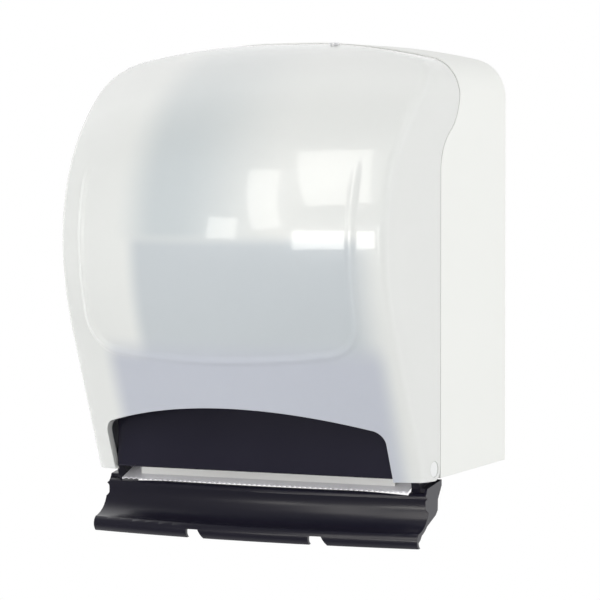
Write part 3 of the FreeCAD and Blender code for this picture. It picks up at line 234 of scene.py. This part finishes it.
def ramp(tree, value, start, end, low=0.0, high=1.0, kind="LINEAR"):
    """Goes from low at the start to high at the end, and stays level outside them."""
    node = new_node(tree, "MapRange", interpolation_type=kind)
    feed(tree, node.inputs["Value"], value)
    feed(tree, node.inputs["From Min"], start)
    feed(tree, node.inputs["From Max"], end)
    feed(tree, node.inputs["To Min"], low)
    feed(tree, node.inputs["To Max"], high)
    return node.outputs["Result"]


def blend(tree, share, first, second, kind="FLOAT"):
    """First value or colour, replaced by a share of the second."""
    node = new_node(tree, "Mix", data_type=kind)
    feed(tree, node.inputs["Factor"], share)
    feed(tree, node.inputs["A"], first)
    feed(tree, node.inputs["B"], second)
    return node.outputs["Result"]


def noise(tree, place, scale, detail):
    node = new_node(tree, "TexNoise")
    feed(tree, node.inputs["Scale"], scale)
    feed(tree, node.inputs["Detail"], detail)
    feed(tree, node.inputs["Vector"], place)
    return node.outputs["Fac"]


def split_place(tree, coordinate):
    """X, Y and Z of a texture coordinate."""
    split = new_node(tree, "SeparateXYZ")
    feed(tree, split.inputs[0], new_node(tree, "TexCoord").outputs[coordinate])
    return split.outputs


# Stage


def aim(thing, target):
    """Turns a camera or lamp towards a point."""
    way = Vector(target) - thing.location
    thing.rotation_euler = way.to_track_quat("-Z", "Y").to_euler()


def add_camera():
    data = bpy.data.cameras.new("camera")
    data.lens = camera_lens
    data.sensor_width = sensor_width
    data.clip_end = view_reach
    camera = bpy.data.objects.new("camera", data)
    bpy.context.collection.objects.link(camera)
    camera.location = camera_place
    aim(camera, camera_target)
    bpy.context.scene.camera = camera


def add_lamp(name, place, size, strength, target):
    """Rectangular lamp of a given radiance that points at the target."""
    data = bpy.data.lights.new(name, "AREA")
    data.shape = "RECTANGLE"
    data.size, data.size_y = size
    data.energy = strength * math.pi * size[0] * size[1]
    lamp = bpy.data.objects.new(name, data)
    bpy.context.collection.objects.link(lamp)
    lamp.location = place
    lamp.visible_camera = False
    aim(lamp, target)
    return lamp


def add_window(name, spot, turn, lift, width, height, lean, strength, distance):
    """Window that a spot of the cover mirrors, and that lights nothing else."""
    across, up = math.radians(turn), math.radians(lift)
    way = Vector((math.cos(up) * math.sin(across), -math.cos(up) * math.cos(across), math.sin(up)))
    size = [2 * distance * math.tan(math.radians(angle) / 2) for angle in (width, height)]
    window = add_lamp(name, Vector(spot) + way * distance, size, strength, spot)
    window.rotation_euler.rotate_axis("Z", math.radians(lean))
    window.data.color = window_colour
    window.visible_diffuse = False


def add_lights():
    """Soft lamps, and the windows that the glossy cover mirrors."""
    for name, (place, size, strength) in soft_lamps.items():
        lamp = add_lamp(name, place, size, strength, lamp_target)
        lamp.visible_glossy = False
    for name, values in windows.items():
        add_window(name, **values)


def room_level(tree, coordinate):
    """White behind the object, dim above the horizon in front of it and dark below."""
    place = split_place(tree, coordinate)
    behind = ramp(tree, place["Y"], behind_start, behind_end, low=dark_level)
    above = ramp(tree, place["Z"], horizon_start, horizon_end, dark_level, wall_level)
    return calculate(tree, "MAXIMUM", behind, above)


def add_world():
    """White background for what sees it directly, a room for reflections and a soft level for the light."""
    world = bpy.data.worlds.new("studio")
    bpy.context.scene.world = world
    world.use_nodes = True
    tree = world.node_tree
    tree.nodes.clear()
    rays = new_node(tree, "LightPath").outputs
    mirrored = calculate(tree, "MAXIMUM", rays["Is Glossy Ray"], rays["Is Transmission Ray"])
    level = blend(tree, mirrored, diffuse_level, room_level(tree, "Generated"))
    background = new_node(tree, "Background")
    feed(tree, background.inputs["Color"], (1, 1, 1, 1))
    feed(tree, background.inputs["Strength"], blend(tree, rays["Is Camera Ray"], level, 1.0))
    output = new_node(tree, "OutputWorld")
    feed(tree, output.inputs["Surface"], background.outputs[0])


def floor_surface():
    """Pale and matt near the dispenser, white beyond its shadow, and at the room's level in mirrors."""
    surface = bpy.data.materials.new("floor_white")
    surface.use_nodes = True
    tree = surface.node_tree
    shader = tree.nodes["Principled BSDF"]
    feed(tree, shader.inputs["Base Color"], floor_colour)
    feed(tree, shader.inputs["Roughness"], floor_roughness)
    length = new_node(tree, "VectorMath", operation="LENGTH")
    feed(tree, length.inputs[0], new_node(tree, "TexCoord").outputs["Object"])
    fade = ramp(tree, length.outputs["Value"], fade_start, fade_end)
    rays = new_node(tree, "LightPath").outputs
    glow = new_node(tree, "Emission")
    feed(tree, glow.inputs["Strength"], blend(tree, rays["Is Camera Ray"], room_level(tree, "Object"), 1.0))
    far = calculate(tree, "MULTIPLY", rays["Is Camera Ray"], fade)
    mix = new_node(tree, "MixShader")
    feed(tree, mix.inputs["Fac"], calculate(tree, "MAXIMUM", far, rays["Is Glossy Ray"]))
    feed(tree, mix.inputs[1], shader.outputs[0])
    feed(tree, mix.inputs[2], glow.outputs[0])
    feed(tree, tree.nodes["Material Output"].inputs["Surface"], mix.outputs[0])
    return surface


def add_floor():
    """Pale floor under the dispenser."""
    mesh = bpy.data.meshes.new("floor")
    corners = [(-floor_reach, -floor_reach, 0), (floor_reach, -floor_reach, 0),
               (floor_reach, floor_reach, 0), (-floor_reach, floor_reach, 0)]
    mesh.from_pydata(corners, [], [(0, 1, 2, 3)])
    floor = bpy.data.objects.new("floor", mesh)
    floor.location = (0, floor_y, floor_z)
    bpy.context.collection.objects.link(floor)
    mesh.materials.append(floor_surface())


# Materials


def grain_normal(tree, place, size, depth):
    """Fine grain on softened edges."""
    bump = new_node(tree, "Bump")
    feed(tree, bump.inputs["Strength"], 1.0)
    feed(tree, bump.inputs["Distance"], depth)
    feed(tree, bump.inputs["Height"], noise(tree, place, 1 / size, grain_detail))
    soft = new_node(tree, "Bevel", samples=soft_edge_samples)
    feed(tree, soft.inputs["Radius"], soft_edge)
    feed(tree, bump.inputs["Normal"], soft.outputs[0])
    return bump.outputs[0]


def new_surface(name, colour, roughness, grain_size, grain_depth, mottle=0.04, rough_spread=0.06, **sockets):
    """Moulded, turned or rolled surface: fine grain, slight mottling of colour and gloss, softened edges."""
    surface = bpy.data.materials.new(name)
    surface.use_nodes = True
    tree = surface.node_tree
    shader = tree.nodes["Principled BSDF"]
    for key, value in sockets.items():
        shader.inputs[key.replace("_", " ")].default_value = value
    place = new_node(tree, "TexCoord").outputs["Object"]
    cloud = noise(tree, place, cloud_scale, cloud_detail)
    darker = [part * (1 - mottle) for part in colour] + [1]
    lighter = [min(1, part * (1 + mottle)) for part in colour] + [1]
    feed(tree, shader.inputs["Base Color"], blend(tree, cloud, darker, lighter, "RGBA"))
    smoothest = max(0, roughness - rough_spread)
    feed(tree, shader.inputs["Roughness"], ramp(tree, cloud, 0, 1, smoothest, roughness + rough_spread))
    feed(tree, shader.inputs["Normal"], grain_normal(tree, place, grain_size, grain_depth))
    return surface


def shade_share(tree, limits):
    """Soft box mask over X and Z of the piece, from pairs of places where it is nothing and full."""
    place = split_place(tree, "Object")
    share = 1.0
    for axis, (nothing, full) in zip("XXZZ", limits):
        start, end = min(nothing, full), max(nothing, full)
        low, high = float(nothing > full), float(nothing < full)
        edge = ramp(tree, place[axis], start, end, low, high, "SMOOTHSTEP")
        share = calculate(tree, "MULTIPLY", share, edge)
    return share


def add_shade(surface, limits, colour):
    """Paints shade into the base colour as a soft darker field, standing in for the dim inside."""
    tree = surface.node_tree
    target = tree.nodes["Principled BSDF"].inputs["Base Color"]
    base = target.links[0].from_socket
    feed(tree, target, blend(tree, shade_share(tree, limits), base, (*colour, 1), "RGBA"))


def cover_pearl():
    """Glossy pearl plastic that lets a little light through."""
    surface = new_surface(
        "cover_pearl", (0.845, 0.86, 0.835), roughness=0.24, grain_size=0.030, grain_depth=0.00008,
        mottle=0.015, rough_spread=0.03, Transmission_Weight=0.12, IOR=1.46, Coat_Weight=1.0,
        Coat_Roughness=0.05, Subsurface_Weight=0.4, Subsurface_Radius=(1, 1, 1), Subsurface_Scale=0.005)
    # Painted shade: three darker fields in the base colour for the dim inside seen through the shell
    add_shade(surface, roll_shade, roll_shade_colour)
    add_shade(surface, low_shade, low_shade_colour)
    add_shade(surface, high_shade, high_shade_colour)
    return surface


def housing_white():
    """Opaque white plastic."""
    return new_surface(
        "housing_white", (0.85, 0.86, 0.83), roughness=0.36, grain_size=0.0006, grain_depth=0.00001,
        mottle=0.01)


def panel_dark():
    """Smooth dark plastic with a violet cast."""
    return new_surface(
        "panel_dark", (0.016, 0.015, 0.026), roughness=0.16, grain_size=0.020, grain_depth=0.00003,
        mottle=0.08, rough_spread=0.03, Specular_IOR_Level=0.35)


def lever_black():
    """Black plastic with a soft gloss."""
    return new_surface(
        "lever_black", (0.010, 0.009, 0.018), roughness=0.32, grain_size=0.016, grain_depth=0.00004,
        mottle=0.08, rough_spread=0.04, Specular_IOR_Level=0.30, Coat_Weight=0.6, Coat_Roughness=0.22)


def steel():
    """Turned or pressed steel."""
    return new_surface(
        "steel", (0.72, 0.72, 0.78), roughness=0.20, grain_size=0.0008, grain_depth=0.000004,
        mottle=0.03, Metallic=1.0)


def bar_steel():
    """Bright, finely brushed strip that mirrors little."""
    return new_surface(
        "bar_steel", (0.95, 0.94, 0.98), roughness=0.24, grain_size=0.0009, grain_depth=0.000004,
        mottle=0.02, Metallic=0.12)


def spring_steel():
    """Drawn wire."""
    return new_surface(
        "spring_steel", (0.50, 0.50, 0.53), roughness=0.30, grain_size=0.0005, grain_depth=0.000004,
        mottle=0.05, Metallic=1.0)


def frame_grey():
    """Matt grey plastic of the mechanism."""
    return new_surface(
        "frame_grey", (0.20, 0.21, 0.24), roughness=0.50, grain_size=0.0006, grain_depth=0.00002,
        mottle=0.04)


def gear_white():
    """White plastic of gears and guides."""
    return new_surface(
        "gear_white", (0.90, 0.90, 0.88), roughness=0.42, grain_size=0.0008, grain_depth=0.00001,
        mottle=0.02)


def roller_rubber():
    """Matt black rubber."""
    return new_surface(
        "roller_rubber", (0.030, 0.030, 0.033), roughness=0.70, grain_size=0.0007, grain_depth=0.00004,
        mottle=0.10)


def pin_light():
    """Pale plastic of the hinge pins."""
    return new_surface(
        "pin_light", (0.83, 0.84, 0.84), roughness=0.34, grain_size=0.0006, grain_depth=0.00001,
        mottle=0.02)


def lock_chrome():
    """Plated lock, dulled."""
    return new_surface(
        "lock_chrome", (0.82, 0.82, 0.84), roughness=0.30, grain_size=0.0010, grain_depth=0.000002,
        mottle=0.02, rough_spread=0.03, Metallic=0.4)


def add_materials():
    """One surface for each material slot of the record, and one more for the tear bar."""
    makers = (cover_pearl, housing_white, panel_dark, lever_black, steel, bar_steel, spring_steel,
              frame_grey, gear_white, roller_rubber, pin_light, lock_chrome)
    return {maker.__name__: maker() for maker in makers}


def dress_solids(surfaces):
    """Gives every solid of the frame the surface of its slot, and the tear bar its own."""
    for part in frame["record"]["subparts"]:
        data = frame["nodes"][part["node"]].data
        data.materials.clear()
        bright = part["node"] == "tear_bar"
        data.materials.append(surfaces["bar_steel" if bright else part["material_slot"]])


# Mesh tools


def new_piece(name, points, faces):
    """Object from points and faces, with its faces turned outward."""
    mesh = bpy.data.meshes.new(name)
    mesh.from_pydata([tuple(point) for point in points], [], faces)
    work = bmesh.new()
    work.from_mesh(mesh)
    bmesh.ops.recalc_face_normals(work, faces=work.faces)
    work.to_mesh(mesh)
    work.free()
    piece = bpy.data.objects.new(name, mesh)
    bpy.context.collection.objects.link(piece)
    return piece


def ring_faces(count, here, there):
    """Faces between two rings whose points start at these numbers."""
    faces = []
    for number in range(count):
        after = (number + 1) % count
        faces.append((here + number, here + after, there + after, there + number))
    return faces


def drum(name, points):
    """Closed piece between two rings of as many points."""
    count = len(points) // 2
    faces = [tuple(range(count)), tuple(range(2 * count - 1, count - 1, -1))]
    return new_piece(name, points, faces + ring_faces(count, 0, count))


def prism(name, outline, direction, start, end):
    """Closed outline of (across, up) pairs, moved along X or Y between two places."""
    if direction == "X":
        return drum(name, [(place, across, up) for place in (start, end) for across, up in outline])
    return drum(name, [(across, place, up) for place in (start, end) for across, up in outline])


def circle(across, up, radius, count=48):
    turns = [2 * math.pi * number / count for number in range(count)]
    return [(across + radius * math.cos(turn), up + radius * math.sin(turn)) for turn in turns]


def rod_z(name, x, y, radius, start, end):
    return drum(name, [(across, deep, z) for z in (start, end) for across, deep in circle(x, y, radius)])


def combine(piece, other, operation):
    """Cuts, joins or intersects a piece with another, which is used up."""
    modifier = piece.modifiers.new("combine", "BOOLEAN")
    modifier.operation = operation
    modifier.solver = "MANIFOLD"
    modifier.object = other
    graph = bpy.context.evaluated_depsgraph_get()
    graph.update()
    mesh = bpy.data.meshes.new_from_object(piece.evaluated_get(graph))
    piece.modifiers.clear()
    old = piece.data
    piece.data = mesh
    bpy.data.meshes.remove(old)
    bpy.data.objects.remove(other)
    return piece


def smooth(piece, angle):
    """Smooth shading with sharp edges above an angle in degrees."""
    piece.data.shade_smooth()
    piece.data.set_sharp_from_angle(angle=math.radians(angle))


# Skin of the housing as distances, so that its front edge can be rounded


def crowned_distance(x, z, half, top_z, radius, corner):
    """Distance outside straight sides, rounded corners and a crowned top, with its direction in X and Z."""
    side = np.where(x < 0, -1.0, 1.0)
    x = np.abs(x)
    centre_z = top_z - radius
    corner_x = half - corner
    corner_z = centre_z + np.sqrt((radius - corner) ** 2 - corner_x ** 2)
    reach = np.hypot(x, z - centre_z)
    flank = x - half
    crown = reach - radius
    use_crown = crown > flank
    distance = np.where(use_crown, crown, flank)
    across = np.where(use_crown, x / reach, 1.0)
    up = np.where(use_crown, (z - centre_z) / reach, 0.0)
    turn = corner_x * (z - corner_z) - (corner_z - centre_z) * (x - corner_x)
    in_corner = (z > corner_z) & (turn < 0)
    away = np.maximum(np.hypot(x - corner_x, z - corner_z), thin_edge)
    distance = np.where(in_corner, away - corner, distance)
    across = np.where(in_corner, (x - corner_x) / away, across)
    up = np.where(in_corner, (z - corner_z) / away, up)
    return distance, side * across, up


def tunnel_distance(points):
    """Distance outside the drafted tunnel shape that the housing has from the front."""
    x, y, z = points.T
    half = half_width + side_draft * y
    distance, across, up = crowned_distance(x, z, half, crown_z, crown_radius, corner_radius)
    normal = np.stack([across, -side_draft * np.abs(across), up], axis=1)
    return distance, normal / np.linalg.norm(normal, axis=1, keepdims=True)


def front_distance(points):
    """Distance outside the bowed front, which turns about an upright axis behind the housing."""
    x, y, z = points.T
    reach = np.hypot(x, y - bow_axis_y)
    upper_reach = bow_radius - upper_radius
    lower_reach = bow_radius - lower_radius
    rise = z - bulge_z
    high = np.maximum(np.hypot(reach - upper_reach, rise), thin_edge)
    low = np.maximum(np.hypot(reach - lower_reach, rise), thin_edge)
    lean_out, lean_up = math.cos(lower_lean), -math.sin(lower_lean)
    straight = (reach - lower_reach) * lean_out + rise * lean_up
    over = (rise >= 0) & (reach < upper_reach)
    upper = (rise >= 0) & ~over
    bent = (rise < 0) & (np.arctan2(-rise, reach - lower_reach) <= lower_lean)
    cases = [over, upper, bent]
    distances = [rise - upper_radius, high - upper_radius, low - lower_radius]
    distance = np.select(cases, distances, straight - lower_radius)
    out = np.select(cases, [0 * rise, (reach - upper_reach) / high, (reach - lower_reach) / low], lean_out)
    up = np.select(cases, [1 + 0 * rise, rise / high, rise / low], lean_up)
    normal = np.stack([out * x / reach, out * (y - bow_axis_y) / reach, up], axis=1)
    return distance, normal


def skin_distance(points, inset):
    """Distance outside the housing at a depth under its skin, with the edge around the front rounded."""
    side, side_normal = tunnel_distance(points)
    face, face_normal = front_distance(points)
    radius = max(edge_radius - inset, thin_edge)
    along = np.sum(side_normal * face_normal, axis=1)
    spread = 1 - along ** 2
    first = side + inset + radius
    second = face + inset + radius
    at_edge = (first > second * along) & (second > first * along) & (spread > thin_edge)
    corner = (first ** 2 + second ** 2 - 2 * first * second * along) / np.maximum(spread, thin_edge)
    distance = np.where(at_edge, np.sqrt(np.maximum(corner, 0)), np.maximum(first, second)) - radius
    closed = np.maximum(points[:, 1] - back_y, cover_bottom_z - overrun - points[:, 2])
    return np.maximum(distance, closed)


def spaced(stretches):
    """Angles in radians from stretches of (start, end, step) in degrees."""
    angles = []
    for start, end, step in stretches:
        count = max(1, round((end - start) / step))
        angles += [start + (end - start) * number / count for number in range(count)]
    return np.radians(np.array(angles))


def points_on_skin(rays, inset):
    """Where rays from inside the housing meet its skin or a depth under it."""
    near = np.zeros(len(rays))
    far = np.full(len(rays), ray_length)
    for halving in range(ray_halvings):
        middle = (near + far) / 2
        outside = skin_distance(np.array(ray_origin) + rays * middle[:, None], inset) > 0
        far = np.where(outside, middle, far)
        near = np.where(outside, near, middle)
    return np.array(ray_origin) + rays * near[:, None]


def skin_body(name, inset, turns, lifts):
    """Closed body of the housing at a depth under its skin. Only the outermost one carries the bead."""
    turn, lift = np.meshgrid(spaced(turns), spaced(lifts))
    rays = np.stack([np.cos(lift) * np.sin(turn), -np.cos(lift) * np.cos(turn), np.sin(lift)], axis=-1)
    rows, columns = turn.shape
    rays = np.concatenate([rays.reshape(-1, 3), [(0, 0, -1), (0, 0, 1)]])
    points = points_on_skin(rays, inset)
    if inset == 0:
        points = points + bead_lift(points)
    faces = []
    for row in range(rows - 1):
        faces += ring_faces(columns, row * columns, (row + 1) * columns)
    top, bottom = rows * columns + 1, rows * columns
    for column in range(columns):
        after = (column + 1) % columns
        faces.append((bottom, after, column))
        faces.append((top, (rows - 1) * columns + column, (rows - 1) * columns + after))
    return new_piece(name, points, faces)


def ease(share):
    """Share from nothing to one, soft at both ends."""
    share = np.clip(share, 0, 1)
    return share * share * (3 - 2 * share)


def bead_lift(points):
    """Outward shift of the skin along the U-shaped bead, soft on both flanks and fading at its ends."""
    x, y, z = points.T
    distance = crowned_distance(x, -z, bead_half_width, -bead_z, bead_radius, bead_corner_radius)[0]
    share = ease(1 - np.abs(distance) / bead_reach)
    end = ease((bead_top_z - z) / bead_fade)
    front = y < seam_y - overrun
    normal = front_distance(points)[1]
    return normal * (bead_rise * share * end * front)[:, None]


# Cover


def crowned_points(half, top_z, radius, corner, bottom_z, steps=10):
    """Outline with straight sides, rounded corners and a crowned end, as (across, up) pairs."""
    way = 1 if top_z > bottom_z else -1
    corner_x = half - corner
    rise = math.sqrt((radius - corner) ** 2 - corner_x ** 2)
    corner_z = top_z - way * (radius - rise)
    meet = math.atan2(rise, corner_x)
    right = [(half, bottom_z)]
    for number in range(steps + 1):
        turn = meet * number / steps
        right.append((corner_x + corner * math.cos(turn), corner_z + way * corner * math.sin(turn)))
    crown = math.pi / 2 - meet
    for number in range(1, 2 * steps):
        turn = meet + crown * number / (2 * steps)
        right.append((radius * math.cos(turn), top_z - way * (radius - radius * math.sin(turn))))
    left = [(-across, up) for across, up in reversed(right)]
    return right + [(0, top_z)] + left


def seam_outline(steps=12):
    """Side view of the space in front of the seam, as (deep, up) pairs."""
    shift = seam_top_y - seam_y
    top_z = seam_bend_z + seam_rise
    radius = (shift ** 2 + seam_rise ** 2) / (4 * shift)
    points = [(seam_y, cover_bottom_z - 2 * overrun)]
    for number in range(steps + 1):
        z = seam_bend_z + seam_rise / 2 * number / steps
        points.append((seam_y + radius - math.sqrt(radius ** 2 - (z - seam_bend_z) ** 2), z))
    for number in range(1, steps + 1):
        z = seam_bend_z + seam_rise / 2 * (1 + number / steps)
        points.append((seam_top_y - radius + math.sqrt(radius ** 2 - (top_z - z) ** 2), z))
    roof = crown_z + overrun
    front = -front_depth - overrun
    return points + [(seam_top_y, roof), (front, roof), (front, cover_bottom_z - 2 * overrun)]


def lug_corner(steps=12):
    """Side view of what is cut away behind and under the lugs, as (deep, up) pairs."""
    deep_z = cover_bottom_z - 2 * overrun
    points = [(pivot_y, deep_z), (0, deep_z), (0, pivot_z)]
    for turn in np.linspace(0, math.pi / 2, steps):
        points.append((pivot_y + lug_radius * math.cos(turn), pivot_z - lug_radius * math.sin(turn)))
    return points


def make_rim(front_y, deep_z):
    """Deep rim of the arch."""
    outline = crowned_points(
        arch_half_width + rim_width, arch_top_z + rim_width, arch_radius + rim_width,
        arch_corner_radius + rim_width, deep_z)
    rim = prism("rim", outline, "Y", front_y, pivot_y)
    combine(rim, skin_body("rim_front", cover_wall / 2, inner_turns, inner_lifts), "INTERSECT")
    return combine(rim, skin_body("rim_back", rim_depth, inner_turns, inner_lifts), "DIFFERENCE")


def make_shell(front_y, deep_z):
    """Hollow shell with the arch's rim and the bosses of its lugs."""
    shell = skin_body("cover_shell", 0, outer_turns, outer_lifts)
    rim = make_rim(front_y, deep_z)
    combine(shell, skin_body("cover_inside", cover_wall, inner_turns, inner_lifts), "DIFFERENCE")
    combine(shell, rim, "UNION")
    for side in (-1, 1):
        ends = sorted((side * (lug_x - cover_wall - boss_depth), side * (lug_x - cover_wall / 2)))
        combine(shell, prism("boss", circle(pivot_y, pivot_z, lug_radius), "X", *ends), "UNION")
    return shell


def cut_shell(shell, front_y, deep_z):
    """Ends the shell at its seam and lower edge, and opens it for the panel, pins, lock and tear bar."""
    wide = half_width + overrun
    combine(shell, prism("before_seam", seam_outline(), "X", -half_width, half_width), "INTERSECT")
    below = [(front_y, deep_z - overrun), (overrun, deep_z - overrun), (overrun, cover_bottom_z),
             (front_y, cover_bottom_z)]
    combine(shell, prism("below", below, "X", -wide, wide), "DIFFERENCE")
    arch = crowned_points(arch_half_width, arch_top_z, arch_radius, arch_corner_radius, deep_z)
    combine(shell, prism("arch", arch, "Y", front_y, pivot_y - lug_radius), "DIFFERENCE")
    combine(shell, prism("behind_lug", lug_corner(), "X", -wide, wide), "DIFFERENCE")
    pin_hole = circle(pivot_y, pivot_z, pin_hole_radius)
    combine(shell, prism("pin_hole", pin_hole, "X", -wide, wide), "DIFFERENCE")
    combine(shell, rod_z("lock_hole", lock_x, lock_y, lock_radius, bulge_z, crown_z + overrun), "DIFFERENCE")
    bar_space = circle(pivot_y, pivot_z, bar_space_radius)
    combine(shell, prism("bar_space", bar_space, "X", -bar_high[0], bar_high[0]), "DIFFERENCE")


def make_cover(surface):
    """Front shell with a rounded front edge, soft bead, arch with its rim and pivot lugs."""
    front_y = -front_depth - overrun
    deep_z = cover_bottom_z - 2 * overrun
    cover = make_shell(front_y, deep_z)
    cut_shell(cover, front_y, deep_z)
    smooth(cover, cover_crease)
    cover.data.materials.clear()
    cover.data.materials.append(surface)
    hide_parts("front_cover")
    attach(cover, "cover")


# Pinch springs


def pinch_path(radius, height):
    """Middle line of a pinch spring that stands on height zero, with a short straight leg at each end."""
    leg_end = height - pinch_wire
    length = pinch_turns * 2 * math.pi * radius + 2 * pinch_leg
    slope = leg_end / length
    points = [(radius, -pinch_leg, 0)]
    for step in range(pinch_turns * pinch_steps + 1):
        turn = 2 * math.pi * step / pinch_steps
        z = slope * (pinch_leg + radius * turn)
        points.append((radius * math.cos(turn), radius * math.sin(turn), z))
    points.append((radius, pinch_leg, leg_end))
    return np.array(points) + (0, 0, pinch_wire / 2)


def tube(name, path, radius):
    """Closed round tube along a path."""
    points, faces = [], []
    for place, way in zip(path, np.gradient(path, axis=0)):
        way = Vector(way).normalized()
        across = way.cross(Vector((0, 0, 1))).normalized()
        up = across.cross(way)
        for right, high in circle(0, 0, radius, wire_sides):
            points.append(tuple(Vector(place) + across * right + up * high))
    for ring in range(len(path) - 1):
        faces += ring_faces(wire_sides, ring * wire_sides, (ring + 1) * wire_sides)
    last = (len(path) - 1) * wire_sides
    faces += [tuple(range(wire_sides)), tuple(last + side for side in range(wire_sides))]
    return new_piece(name, points, faces)


def make_pinch_spring(side, surface):
    """Spring over one end of the pinch roller."""
    node = "pinch_spring_" + side
    low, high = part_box(node)
    height = high[2] - low[2]
    radius = (high[0] - low[0] - pinch_wire) / 2
    middle = ((low[0] + high[0]) / 2, (low[1] + high[1]) / 2, low[2])
    spring = tube("coil_" + side, pinch_path(radius, height) + middle, pinch_wire / 2)
    smooth(spring, spring_crease)
    spring.data.materials.append(surface)
    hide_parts(node)
    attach(spring, "housing")
    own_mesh(spring)


add_camera()
add_world()
add_floor()
add_lights()
bpy.context.scene.view_settings.view_transform = "Standard"
surfaces = add_materials()
dress_solids(surfaces)
make_cover(surfaces["cover_pearl"])
for side in ("left", "right"):
    make_pinch_spring(side, surfaces["spring_steel"])
